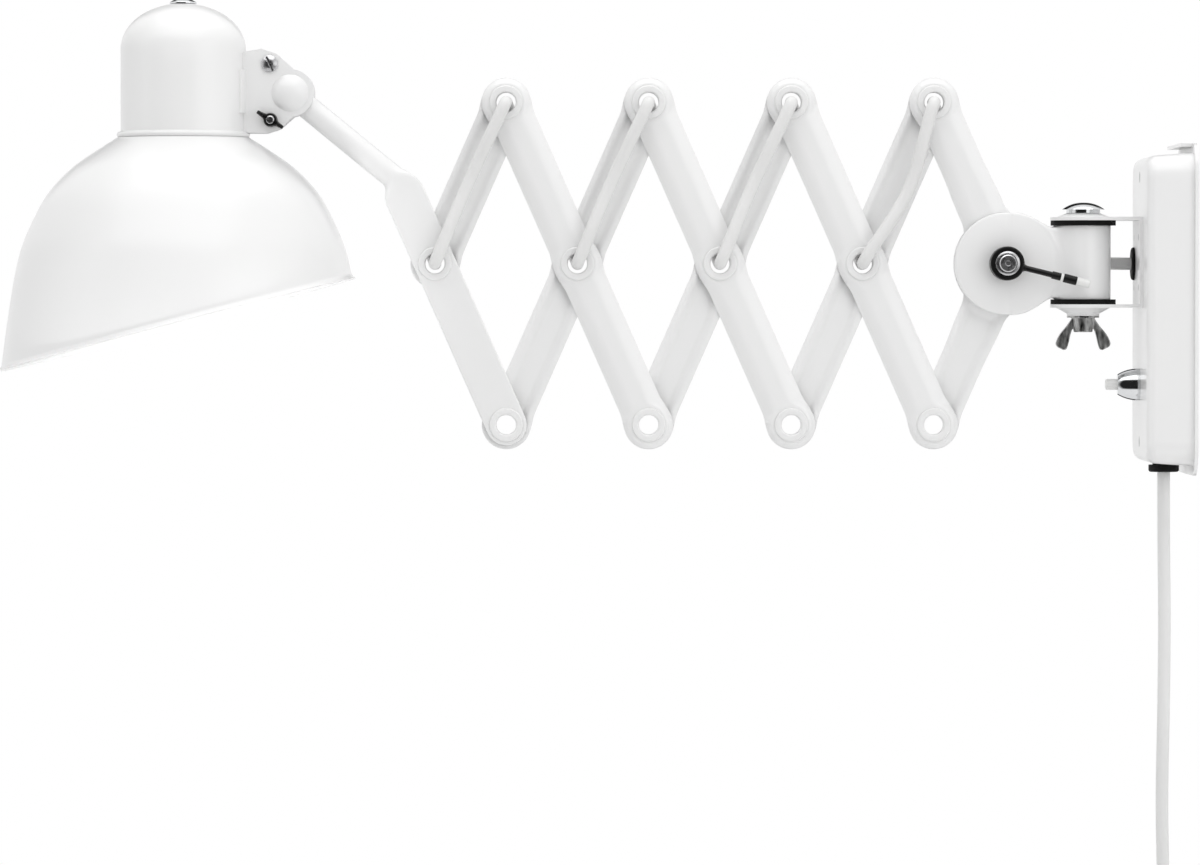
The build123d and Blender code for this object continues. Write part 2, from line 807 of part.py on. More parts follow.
def pressed_bar(start, end, side, eyes, hub_end=False):
    """Channel bar with a crowned web, flat rims and round eyes for hollow rivets.

    eyes lists the distances of the rivets from start. With hub_end the start is a
    solid disc that turns on the bush.
    """
    base = bar_plane(start, end, side)
    length = sqrt((end[0] - start[0]) ** 2 + (end[1] - start[1]) ** 2)
    crown_from = hub_disc_radius if hub_end else 0.0
    crown_span = length - crown_from
    crown_mid = (length + crown_from) / 2
    crown_half = bar_crown / 2
    hollow_half = crown_half - bar_sheet * (sqrt(2) - 1)
    rise = bar_depth - bar_sheet
    with BuildPart() as bar:
        with BuildSketch(base) as rim:
            with Locations((length / 2, 0)):
                SlotCenterToCenter(length, bar_width)
            for distance in eyes:
                with Locations((distance, 0)):
                    Circle(eye_radius)
            if hub_end:
                Circle(hub_disc_radius)
            fillet(rim.vertices(), waist_round)
        extrude(amount=bar_sheet)
        with BuildSketch(base.offset(bar_sheet)):
            with Locations((crown_mid, 0)):
                SlotCenterToCenter(crown_span, bar_crown)
        extrude(amount=rise, taper=45)
        crest = bar.faces().sort_by(Axis.Y)[0 if side < 0 else -1]
        fillet(crest.edges(), crown_round)
        for distance in eyes:
            with BuildSketch(base.offset(bar_sheet)):
                with Locations((distance, 0)):
                    Circle(eye_pad + rise * tan(radians(eye_draft)))
            extrude(amount=rise, taper=eye_draft)
        with BuildSketch(base):
            with Locations((crown_mid, 0)):
                SlotCenterToCenter(crown_span, 2 * hollow_half)
        extrude(amount=rise, taper=45, mode=Mode.SUBTRACT)
        if hub_end:
            with BuildSketch(base):
                Circle(hub_disc_radius)
            extrude(amount=bar_depth)
            with BuildSketch(base):
                Circle(bush_radius + run_fit)
            extrude(amount=bar_depth, mode=Mode.SUBTRACT)
        for distance in eyes:
            with BuildSketch(base):
                with Locations((distance, 0)):
                    Circle(rivet_radius + run_fit)
            extrude(amount=bar_depth, mode=Mode.SUBTRACT)
    return bar.part


# Pressed bars, numbered from the wall outwards: the front ones fall towards the wall,
# the rear ones rise towards it
full_eyes = (0, bar_half, 2 * bar_half)
hub_point_2d = middle_pivot(0)
write(pressed_bar(hub_point_2d, upper_pivot(1), -1, (bar_half,), hub_end=True), "front_bar_1")
write(pressed_bar(hub_point_2d, lower_pivot(1), 1, (bar_half,), hub_end=True), "rear_bar_1")
for cell in range(1, scissor_cells):
    front = pressed_bar(upper_pivot(cell + 1), lower_pivot(cell), -1, full_eyes)
    write(front, f"front_bar_{cell + 1}")
for cell in range(1, scissor_cells):
    rear = pressed_bar(upper_pivot(cell), lower_pivot(cell + 1), 1, full_eyes)
    write(rear, f"rear_bar_{cell + 1}")
last_rear = pressed_bar(
    upper_pivot(scissor_cells), middle_pivot(scissor_cells), 1, (0, bar_half)
)
write(last_rear, f"rear_bar_{scissor_cells + 1}")


def rivets(pivots, front_seat):
    """Hollow rivets at the given pivots, rolled over the front and the rear bar."""
    rear_seat = bar_gap + bar_depth
    with BuildPart() as group:
        for x, z in pivots:
            with BuildSketch(axis_plane(x, z)) as section:
                with BuildLine():
                    Polyline(
                        (rivet_bore, -front_seat - rivet_head_thick),
                        (rivet_head, -front_seat - rivet_head_thick),
                        (rivet_head, -front_seat),
                        (rivet_radius, -front_seat),
                        (rivet_radius, rear_seat),
                        (rivet_head, rear_seat),
                        (rivet_head, rear_seat + rivet_head_thick),
                        (rivet_bore, rear_seat + rivet_head_thick),
                        close=True,
                    )
                make_face()
                corners = section.vertices().group_by(Axis.Y)
                fillet(corners[0] + corners[-1], rivet_roll)
            revolve(axis=Axis((x, 0, z), (0, 1, 0)))
    return group.part


bar_face = bar_gap + bar_depth
head_bar_face = bar_gap + head_bar_thick
write(rivets([upper_pivot(1)], bar_face), "pivot_rivets_1")
for cell in range(1, scissor_cells):
    places = [upper_pivot(cell + 1), middle_pivot(cell), lower_pivot(cell)]
    write(rivets(places, bar_face), f"pivot_rivets_{cell + 1}")
last_places = [middle_pivot(scissor_cells), lower_pivot(scissor_cells)]
write(rivets(last_places, head_bar_face), f"pivot_rivets_{scissor_cells + 1}")

# Head arm: one tube, flattened where it is the last bar of the scissors
bend_fall = degrees(atan2(half_rise, half_pitch))
last_middle = middle_pivot(scissor_cells)
bar_way = Vector(cos(radians(bend_fall)), 0, -sin(radians(bend_fall)))
tube_way = Vector(cos(radians(tube_fall)), 0, -sin(radians(tube_fall)))
bend_point = Vector(last_middle[0], 0, last_middle[1]) - bar_way * head_bar_run
ball_point = bend_point - tube_way * tube_length
flat_middle = -(bar_gap + head_bar_thick / 2)
tube_end = ball_radius * 0.55


def across_tube(distance):
    """Plane square to the tube, at a distance from the ball's middle."""
    return Plane(origin=ball_point + tube_way * distance, x_dir=(0, 1, 0), z_dir=tube_way)


with BuildPart() as head_arm:
    head_base = Plane(
        origin=(last_middle[0], -bar_gap, last_middle[1]), x_dir=bar_way, z_dir=(0, -1, 0)
    )
    flat_start = -head_bar_run + flatten_after
    with BuildSketch(head_base):
        with Locations(((flat_start + bar_half) / 2, 0)):
            Rectangle(bar_half - flat_start, head_bar_width)
        with Locations((bar_half, 0)):
            Circle(head_bar_width / 2)
    extrude(amount=head_bar_thick)
    with BuildSketch(across_tube(tube_length - flatten_before)):
        Circle(tube_radius)
    flat_plane = Plane(
        origin=bend_point + bar_way * flatten_after + Vector(0, flat_middle, 0),
        x_dir=(0, 1, 0),
        z_dir=bar_way,
    )
    with BuildSketch(flat_plane):
        RectangleRounded(head_bar_thick, head_bar_width, head_bar_thick * 0.35)
    loft()
    with BuildSketch(across_tube(tube_end)):
        Circle(tube_radius)
    extrude(amount=tube_length - flatten_before - tube_end)
    with BuildSketch(across_tube(tube_end)):
        Circle(tube_bore)
    extrude(amount=tube_length - flatten_before - tube_end, mode=Mode.SUBTRACT)
    for distance in (0, bar_half):
        with BuildSketch(head_base):
            with Locations((distance, 0)):
                Circle(rivet_radius + run_fit)
        extrude(amount=head_bar_thick, mode=Mode.SUBTRACT)
    lead_mouth = ball_point + tube_way * (tube_length - mouth_length / 2)
    with BuildSketch(Plane(origin=lead_mouth, x_dir=tube_way, z_dir=(0, 1, 0))):
        SlotCenterToCenter(mouth_length, 2 * (cable_radius + 2 * soft_gap))
    extrude(amount=tube_radius + 1, mode=Mode.SUBTRACT)
write(head_arm.part, "head_arm")

# Arm cable: front stretches lie on the rear bars, rear stretches on the front bars


def bar_cable(start, end, side, bow):
    """Stretch of cable between two rivets of one bar, bowed and dipped in its middle."""
    along = (Vector(end[0], 0, end[1]) - Vector(start[0], 0, start[1])).normalized()
    sideways = Vector(along.Z, 0, -along.X)
    origin = Vector(start[0], 0, start[1])
    early = bar_half * cable_dip_share
    stations = (
        (0, 0, 0),
        (0, cable_lift, 0),
        (early, cable_lift, bow * 0.55),
        (bar_half / 2, cable_lift - cable_dip, bow),
        (bar_half - early, cable_lift, bow * 0.7),
        (bar_half, cable_lift, 0),
        (bar_half, 0, 0),
    )
    points = []
    for distance, lift, shift in stations:
        point = origin + along * distance + sideways * shift + Vector(0, side * lift, 0)
        points.append(tuple(point))
    corner_radii = bend_radii(points)
    corner_radii[0] = cable_corner
    corner_radii[-1] = cable_corner
    return tube(points, corner_radii, cable_radius)


for cell in range(1, scissor_cells + 1):
    bow = -first_bow if cell == 1 else -other_bow
    stretch = bar_cable(upper_pivot(cell), middle_pivot(cell), -1, bow)
    write(stretch, f"arm_cable_front_{cell}")
for cell in range(1, scissor_cells):
    stretch = bar_cable(middle_pivot(cell), upper_pivot(cell + 1), 1, 0.6)
    write(stretch, f"arm_cable_rear_{cell + 1}")

first_way = Vector(-half_pitch, 0, half_rise).normalized()
first_top = Vector(upper_pivot(1)[0], 0, upper_pivot(1)[1])
join_point = Vector(hub_x, cable_lift, arm_height) + first_way * cable_join
first_stretch = [
    tuple(join_point),
    tuple(first_top + Vector(0, cable_lift, 0)),
    tuple(first_top),
]
write(tube(first_stretch, [cable_corner], cable_radius), "arm_cable_rear_1")

# Lead from the grommet past the barrel and over the hub to the first bar
lead_start_x = cover_front + cover_wall + 6
past_barrel_y = barrel_radius + cable_radius + 3.0
past_hub_y = fork_outer + cable_radius + 0.7
on_bar_28 = Vector(hub_x, past_hub_y, arm_height) + first_way * 28
on_bar_44 = Vector(hub_x, cable_lift, arm_height) + first_way * 44
lead_points = [
    (lead_start_x, grommet_offset_y, arm_height),
    (bracket_front - grommet_thick - 11, grommet_offset_y, arm_height),
    (barrel_x + 3, past_barrel_y, arm_height + 1),
    (barrel_x - 20, past_barrel_y - 3.5, arm_height + 6),
    (hub_x + 6, past_hub_y + 0.3, arm_height + 14.5),
    tuple(on_bar_28),
    tuple(on_bar_44),
    tuple(join_point),
]
lead_radii = bend_radii(lead_points)
print("base_lead radii", [round(r, 1) for r in lead_radii])
write(tube(lead_points, lead_radii, cable_radius), "base_lead")

# Lead behind the head arm and up its tube
lead_middle = Vector(last_middle[0], 0, last_middle[1])
mouth_low = bend_point - tube_way * 4
inside_tube = ball_point + tube_way * (tube_length - flatten_before - 26)
lead_end = ball_point + tube_way * (tube_end + 1)
head_points = [
    tuple(lead_middle),
    tuple(lead_middle + Vector(0, cable_lift, 0)),
    tuple(lead_middle - bar_way * 40 + Vector(0, cable_lift, 0)),
    tuple(mouth_low + Vector(0, cable_lift - 0.6, 0)),
    tuple(inside_tube),
    tuple(lead_end),
]
head_radii = bend_radii(head_points)
head_radii[0] = cable_corner
print("head_lead radii", [round(r, 1) for r in head_radii])
write(tube(head_points, head_radii, cable_radius), "head_lead")

# Ball on the tube's end, hollow and slotted for the lead
with BuildPart() as head_ball:
    with Locations(ball_point):
        Sphere(ball_radius)
        Sphere(ball_hollow, mode=Mode.SUBTRACT)
    with BuildSketch(across_tube(0)):
        Circle(tube_radius + run_fit)
    extrude(amount=ball_radius + 1, mode=Mode.SUBTRACT)
    slot_plane = Plane(
        origin=ball_point + Vector(0, ball_slot / 2, 0), x_dir=(1, 0, 0), z_dir=(0, -1, 0)
    )
    with BuildSketch(slot_plane):
        with BuildLine():
            Polyline(
                (0, 0),
                (2 * ball_radius * cos(radians(62)), 2 * ball_radius * sin(radians(62))),
                (2 * ball_radius * cos(radians(110)), 2 * ball_radius * sin(radians(110))),
                (2 * ball_radius * cos(radians(160)), 2 * ball_radius * sin(radians(160))),
                (2 * ball_radius * cos(radians(214)), 2 * ball_radius * sin(radians(214))),
                close=True,
            )
        make_face()
    extrude(amount=ball_slot, mode=Mode.SUBTRACT)
write(head_ball.part, "head_ball")

# Clamp plates with their dished domes and bent saddle flanges
neck_x = ball_point.X - neck_offset
screw_high = (ball_point.X - 12.1, ball_point.Z + 17.1)
screw_low = (ball_point.X - 11.5, ball_point.Z - 15.9)
with BuildPart() as ball_clamp_plates:
    for side in (-1, 1):
        with BuildSketch(Plane(origin=(0, side * plate_gap, 0), x_dir=(1, 0, 0), z_dir=(0, -1, 0))):
            with BuildLine():
                Polyline(
                    (neck_x + cap_radius * 0.9, ball_point.Z + 23.6),
                    (ball_point.X - 17, ball_point.Z + 26),
                    (ball_point.X - 8, ball_point.Z + 23),
                    (ball_point.X + 2, ball_point.Z + clamp_round - 0.2),
                    (ball_point.X + 2, ball_point.Z - clamp_round + 0.2),
                    (ball_point.X - 6, ball_point.Z - 21),
                    (ball_point.X - 14, ball_point.Z - 23.6),
                    (neck_x + cap_radius * 0.9, ball_point.Z - 23.4),
                    close=True,
                )
            make_face()
            with Locations((ball_point.X, ball_point.Z)):
                Circle(clamp_round)
            with Locations(screw_high, screw_low):
                Circle(clamp_screw_radius + run_fit, mode=Mode.SUBTRACT)
        extrude(amount=-side * clamp_sheet)
        with BuildSketch(Plane.XY.offset(saddle_low)):
            with Locations((neck_x, 0)):
                Circle(cap_radius + saddle_sheet)
            middle_y = side * (plate_gap + saddle_half) / 2
            with Locations((neck_x + cap_radius, middle_y)):
                Rectangle(cap_radius, saddle_half - plate_gap, mode=Mode.INTERSECT)
        extrude(amount=saddle_high - saddle_low)
    for side in (-1, 1):
        with Locations(ball_point):
            dome = Sphere(ball_radius + ball_fit + clamp_sheet, mode=Mode.PRIVATE)
        shell_cut = Plane(origin=(0, side * plate_gap, 0), z_dir=(0, side, 0))
        add(split(dome, bisect_by=shell_cut, keep=Keep.TOP, mode=Mode.PRIVATE))
    with Locations(ball_point):
        Sphere(ball_radius + ball_fit, mode=Mode.SUBTRACT)
    for radius, height in (
        (cap_radius, cap_dome + cap_side_top - seam_height),
        (cap_bead, 2 * cap_bead_height),
    ):
        with BuildSketch(Plane.XY.offset(seam_height)):
            with Locations((neck_x, 0)):
                Circle(radius + run_fit)
        extrude(amount=height + run_fit, mode=Mode.SUBTRACT)
write(ball_clamp_plates.part, "ball_clamp_plates")

# Slotted screw and stud of the clamp, with their nuts
clamp_outer = plate_gap + clamp_sheet
with BuildPart() as clamp_screws:
    for place, front in ((screw_high, clamp_outer), (screw_low, clamp_outer + 7.5)):
        with BuildSketch(Plane.XZ.offset(-clamp_outer - clamp_nut_height - 1)):
            with Locations(place):
                Circle(clamp_screw_radius)
        extrude(amount=clamp_outer + clamp_nut_height + 1 + front)
        with BuildSketch(Plane.XZ.offset(-clamp_outer - clamp_nut_height)):
            with Locations(place):
                RegularPolygon(clamp_nut_flats / 2, 6, major_radius=False)
        extrude(amount=clamp_nut_height)
    with BuildSketch(Plane.XZ.offset(clamp_outer)):
        with Locations(screw_high):
            Circle(clamp_head_radius)
    extrude(amount=clamp_head_height)
    head_face = clamp_screws.faces().filter_by(Axis.Y)
    head_face = head_face.filter_by(lambda f: abs(f.center().Y + clamp_outer + clamp_head_height) < 0.01)
    fillet(head_face.edges(), 1.2)
    slot_at = Plane(
        origin=(screw_high[0], -clamp_outer - clamp_head_height, screw_high[1]),
        x_dir=(cos(radians(25)), 0, -sin(radians(25))),
        z_dir=(0, -1, 0),
    )
    with BuildSketch(slot_at):
        Rectangle(3 * clamp_head_radius, 1.3)
    extrude(amount=-clamp_head_height / 2, mode=Mode.SUBTRACT)
write(clamp_screws.part, "clamp_screws")

# Small wing nut on the lower stud
with BuildPart() as clamp_wing_nut:
    wing_seat = clamp_outer + seat_gap / 2
    with BuildSketch(Plane.XZ.offset(wing_seat)):
        with Locations(screw_low):
            Circle(4.2)
    extrude(amount=4.6, taper=6)
    for side in (-1, 1):
        small_wing = Plane(
            origin=(
                screw_low[0] + side * 5.4 * cos(radians(32)),
                -wing_seat - 4.4,
                screw_low[1] - side * 5.4 * sin(radians(32)),
            ),
            x_dir=(side * cos(radians(32)), -0.9, -side * sin(radians(32))),
            z_dir=(sin(radians(32)), 0, cos(radians(32))),
        )
        with BuildSketch(small_wing.offset(-0.8)):
            SlotCenterToCenter(5.0, 4.4)
        extrude(amount=1.6)
    with BuildSketch(Plane.XZ.offset(wing_seat)):
        with Locations(screw_low):
            Circle(clamp_screw_radius + run_fit)
    extrude(amount=12, mode=Mode.SUBTRACT)
write(clamp_wing_nut.part, "clamp_wing_nut")

# Cap: straight side, domed top and a bead at the seam
with BuildPart() as cap_housing:
    with BuildSketch(Plane(origin=(neck_x, 0, 0), x_dir=(1, 0, 0), z_dir=(0, -1, 0))):
        with BuildLine():
            inner_radius = cap_radius - cap_wall
            inner_dome = cap_dome - cap_wall
            outside = EllipticalCenterArc(
                (0, cap_side_top), cap_radius, cap_dome, start_angle=0, arc_size=90
            )
            inside = EllipticalCenterArc(
                (0, cap_side_top), inner_radius, inner_dome, start_angle=0, arc_size=90
            )
            Line(outside @ 1, inside @ 1)
            Polyline(
                inside @ 0,
                (inner_radius, seam_height),
                (cap_bead, seam_height),
                (cap_bead, seam_height + cap_bead_height),
                (cap_radius, seam_height + 2 * cap_bead_height),
                outside @ 0,
            )
        make_face()
    revolve(axis=Axis((neck_x, 0, 0), (0, 0, 1)))
    with BuildSketch(Plane.XY.offset(cap_side_top)):
        with Locations((neck_x, 0)):
            Circle(holder_stem + run_fit)
    extrude(amount=cap_dome + 1, mode=Mode.SUBTRACT)
    with BuildSketch(Plane(origin=(neck_x, 0, ball_point.Z), x_dir=(0, 1, 0), z_dir=(1, 0, 0))):
        Circle(cable_radius + 2 * soft_gap)
    extrude(amount=cap_radius + 1, mode=Mode.SUBTRACT)
write(cap_housing.part, "cap_housing")

# Button nut on top of the cap
cap_top = cap_side_top + cap_dome
with BuildPart() as cap_button:
    with BuildSketch(Plane(origin=(neck_x, 0, cap_top), x_dir=(1, 0, 0), z_dir=(0, -1, 0))):
        with BuildLine():
            button_arc = ThreePointArc(
                (0, cap_button_height),
                (cap_button_radius * 0.6, cap_button_height * 0.72),
                (cap_button_radius, 0),
            )
            Polyline(button_arc @ 1, (0, 0), button_arc @ 0)
        make_face()
    revolve(axis=Axis((neck_x, 0, 0), (0, 0, 1)))
write(cap_button.part, "cap_button")

# Shade: turned dome cut off along a slant, with a small outward lip along the cut
shade_profile = (
    (39.0, 101.3),
    (52.0, 93.0),
    (65.6, 83.3),
    (79.7, 68.2),
    (89.2, 51.0),
    (95.1, 36.9),
    (98.6, 23.3),
    (102.8, -1.5),
    (107.3, -34.6),
    (109.4, -52.0),
)


def moved_out(points, distance):
    """Profile moved square to itself; a negative distance moves it inwards."""
    moved = []
    for index, (r, z) in enumerate(points):
        before = points[max(index - 1, 0)]
        after = points[min(index + 1, len(points) - 1)]
        run = sqrt((after[0] - before[0]) ** 2 + (after[1] - before[1]) ** 2)
        moved.append(
            (
                r - distance * (after[1] - before[1]) / run,
                z + distance * (after[0] - before[0]) / run,
            )
        )
    return moved


def turned_shell(outside, inside):
    """Solid of revolution about the neck between two profiles."""
    with BuildPart() as shell:
        with BuildSketch(Plane(origin=(neck_x, 0, 0), x_dir=(1, 0, 0), z_dir=(0, -1, 0))):
            with BuildLine():
                outer_line = Spline(*outside)
                inner_line = Spline(*inside)
                Line(outer_line @ 0, inner_line @ 0)
                Line(outer_line @ 1, inner_line @ 1)
            make_face()
        revolve(axis=Axis((neck_x, 0, 0), (0, 0, 1)))
    return shell.part


cut_way = Vector(sin(radians(shade_cut_slope)), 0, -cos(radians(shade_cut_slope)))
cut_origin = Vector(neck_x - 107.0, 0, shade_cut_left)
cut_plane = Plane(origin=cut_origin, z_dir=cut_way)
sheet = turned_shell(shade_profile, moved_out(shade_profile, -shade_wall))
flare = turned_shell(moved_out(shade_profile, shade_lip), moved_out(shade_profile, -shade_wall))
with BuildPart() as shade:
    add(split(sheet, bisect_by=cut_plane, keep=Keep.BOTTOM, mode=Mode.PRIVATE))
    lip_top = Plane(origin=cut_origin - cut_way * shade_lip_thick, z_dir=cut_way)
    lip_ring = split(flare, bisect_by=cut_plane, keep=Keep.BOTTOM, mode=Mode.PRIVATE)
    add(split(lip_ring, bisect_by=lip_top, keep=Keep.TOP, mode=Mode.PRIVATE))
    with BuildSketch(Plane.XY.offset(seam_height - shade_wall)):
        with Locations((neck_x, 0)):
            Circle(39.0)
            Circle(shade_mouth, mode=Mode.SUBTRACT)
    extrude(amount=shade_wall)
write(shade.part, "shade")

# Lamp holder with its stem, and the bulb
with BuildPart() as lamp_holder:
    with BuildSketch(Plane.XY.offset(holder_bottom)):
        with Locations((neck_x, 0)):
            Circle(holder_radius)
    extrude(amount=holder_top - holder_bottom)
    chamfer(lamp_holder.faces().sort_by(Axis.Z)[-1].edges(), 3)
    with BuildSketch(Plane.XY.offset(holder_top)):
        with Locations((neck_x, 0)):
            Circle(holder_stem)
    extrude(amount=cap_top - holder_top)
    with BuildSketch(Plane.XY.offset(holder_bottom)):
        with Locations((neck_x, 0)):
            Circle(holder_cavity)
    extrude(amount=holder_cavity_depth, mode=Mode.SUBTRACT)
write(lamp_holder.part, "lamp_holder")

with BuildPart() as bulb:
    bulb_top = holder_bottom + holder_cavity_depth - 0.4
    neck_height = holder_bottom + 4
    with BuildSketch(Plane(origin=(neck_x, 0, 0), x_dir=(1, 0, 0), z_dir=(0, -1, 0))):
        with BuildLine():
            globe_start = (0, bulb_centre - bulb_radius)
            globe_end = (bulb_radius * cos(radians(28)), bulb_centre + bulb_radius * sin(radians(28)))
            globe = ThreePointArc(globe_start, (bulb_radius, bulb_centre), globe_end)
            shoulder = (bulb_cap_radius + 1.0, neck_height - 9)
            neck_line = Spline(
                globe_end,
                shoulder,
                tangents=[globe % 1, (0, 1)],
            )
            Polyline(
                neck_line @ 1,
                (bulb_cap_radius, neck_height),
                (bulb_cap_radius, bulb_top - 4),
                (4.5, bulb_top),
                (0, bulb_top),
                globe_start,
            )
        make_face()
    revolve(axis=Axis((neck_x, 0, 0), (0, 0, 1)))
    with Locations((neck_x, 0, bulb_centre)):
        Sphere(bulb_radius - bulb_wall, mode=Mode.SUBTRACT)
    for radius, cavity_top in ((bulb_cap_radius - bulb_wall, bulb_top - 5), (bulb_vent, bulb_top)):
        with BuildSketch(Plane.XY.offset(bulb_centre)):
            with Locations((neck_x, 0)):
                Circle(radius)
        extrude(amount=cavity_top - bulb_centre, mode=Mode.SUBTRACT)
write(bulb.part, "bulb")

# Mains cord from inside the box through the gland and down to the coil
cord_points = [
    (gland_x, 0, gland_top + 8.5),
    (gland_x, 0, -130),
    (gland_x + 0.9, 1.2, -185),
    (gland_x + 0.3, 0.6, -240),
    (gland_x - 0.9, -0.6, -290),
    (gland_x + 0.3, 0.4, -335),
    (gland_x, 0, coil_centre_z + 25),
    (gland_x, 0, coil_centre_z),
]
cord_radii = bend_radii(cord_points)
print("mains_cord radii", [round(r, 1) for r in cord_radii])
write(tube(cord_points, cord_radii, mains_radius), "mains_cord")

# Coil of the rest of the cord: two layers, spiralling in and out again by half turns


def coil_stations():
    """Ends of the half turns: (y, z, layer x) and the way the cord runs there."""
    stations = [((gland_x, 0.0, coil_centre_z), (0, 0, -1))]
    side = -1
    y = 0.0
    x = gland_x
    radii = [coil_first_radius - coil_pitch / 2 * k for k in range(coil_in)]
    radii.append(radii[-1] - coil_pitch / 2)
    radii += [radii[-1] + coil_pitch / 2 * (k + 1) for k in range(coil_out)]
    for index, radius in enumerate(radii):
        y += side * 2 * radius
        if index == coil_in:
            x -= coil_layer
        stations.append(((x, y, coil_centre_z), (0, 0, 1 if side < 0 else -1)))
        side = -side
    return stations, radii


def half_turn(begin, finish):
    """Two tangent arcs from one station to the next."""
    (p0, way0), (p1, way1) = begin, finish
    p0, p1, way0, way1 = Vector(*p0), Vector(*p1), Vector(*way0), Vector(*way1)
    reach = (p1 - p0).length / 2
    joint = (p0 + way0 * reach + p1 - way1 * reach) * 0.5
    joint_way = ((p1 - way1 * reach) - (p0 + way0 * reach)).normalized()
    TangentArc(p0, joint, tangent=way0)
    TangentArc(joint, p1, tangent=joint_way)


stations, coil_radii = coil_stations()
with BuildPart() as cord_coil:
    with BuildLine() as winding:
        for begin, finish in zip(stations, stations[1:]):
            half_turn(begin, finish)
        tail_start = Vector(*stations[-1][0])
        tail_end = tail_start - Vector(0, 0, cord_tail)
        Line(tail_start, tail_end)
    wound = winding.wire()
    with BuildSketch(Plane(origin=wound @ 0, z_dir=wound % 0)):
        Circle(mains_radius)
    sweep()
write(cord_coil.part, "cord_coil")
coil_length = wound.length
print(f"coil length {coil_length:.1f}, turns {len(coil_radii) / 2}")


def least_gap(line, radius, samples=900):
    """Least gap between stretches of the line that aren't neighbours along it."""
    points = [line @ (k / samples) for k in range(samples + 1)]
    step = line.length / samples
    skip = int(6 * radius / step) + 1
    least = 1e9
    for i in range(0, samples + 1, 2):
        for j in range(i + skip, samples + 1, 2):
            least = min(least, (points[i] - points[j]).length)
    return least - 2 * radius


print(f"coil least gap to itself {least_gap(wound, mains_radius):.2f}")

# Tie round all the turns at the top of the coil
with BuildPart() as coil_tie:
    middle_y = -coil_first_radius
    outer_turn = max(coil_radii) + mains_radius + soft_gap
    inner_turn = min(coil_radii) - mains_radius - soft_gap
    tie_low = coil_centre_z + inner_turn - 2 * coil_pitch / 4
    tie_high = coil_centre_z + outer_turn + coil_pitch / 4
    layer_middle = gland_x - coil_layer / 2
    window_x = coil_layer + 2 * (mains_radius + soft_gap)
    tie_plane = Plane(
        origin=(layer_middle, middle_y + tie_width / 2, (tie_low + tie_high) / 2),
        x_dir=(1, 0, 0),
        z_dir=(0, -1, 0),
    )
    with BuildSketch(tie_plane):
        RectangleRounded(window_x + 2 * tie_thick, tie_high - tie_low + 2 * tie_thick, 3)
        RectangleRounded(window_x, tie_high - tie_low, 2, mode=Mode.SUBTRACT)
    extrude(amount=tie_width)
write(coil_tie.part, "coil_tie")

# Plug with its strain relief, and its two pins
plug_x = tail_end.X
plug_y = tail_end.Y
plug_top = tail_end.Z
with BuildPart() as plug_body:
    with BuildSketch(Plane.XY.offset(plug_top - relief_length)):
        with Locations((plug_x, plug_y)):
            Circle(relief_radius + 2)
    extrude(amount=relief_length, taper=4)
    with BuildSketch(Plane.XY.offset(plug_top - relief_length - plug_length)):
        with Locations((plug_x, plug_y)):
            Circle(plug_radius)
    extrude(amount=plug_length)
    shoulder_edges = plug_body.edges().filter_by(GeomType.CIRCLE)
    shoulder_edges = shoulder_edges.filter_by(lambda e: abs(e.radius - plug_radius) < 0.01)
    fillet(shoulder_edges.sort_by(Axis.Z)[-1], 9)
write(plug_body.part, "plug_body")

with BuildPart() as plug_pins:
    pin_top = plug_top - relief_length - plug_length
    for side in (-1, 1):
        with BuildSketch(Plane.XY.offset(pin_top - pin_length)):
            with Locations((plug_x, plug_y + side * pin_spread / 2)):
                Circle(pin_radius)
        extrude(amount=pin_length)
    fillet(plug_pins.faces().filter_by(Axis.Z).group_by(Axis.Z)[0].edges(), 1.4)
write(plug_pins.part, "plug_pins")

# Lead from inside the ball to the lamp holder
with BuildPart() as holder_lead:
    lead_length = neck_offset - holder_radius - ball_hollow * 0.5
    with BuildSketch(Plane(origin=(neck_x + holder_radius, 0, ball_point.Z), x_dir=(0, 1, 0), z_dir=(1, 0, 0))):
        Circle(cable_radius)
    extrude(amount=lead_length)
write(holder_lead.part, "holder_lead")

print("ball", ball_point, "bend", bend_point, "join", join_point)
print("hub", hub_x, arm_height, "barrel", barrel_x, "neck", neck_x)
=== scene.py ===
# Adjustable wall lamp, dressed for its render. Metres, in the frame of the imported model.
# The origin is on the wall behind the box, the arm reaches out along -X, and the
# photographed side faces -Y.

import json
from math import copysign, cos, pi, radians, sin, tan

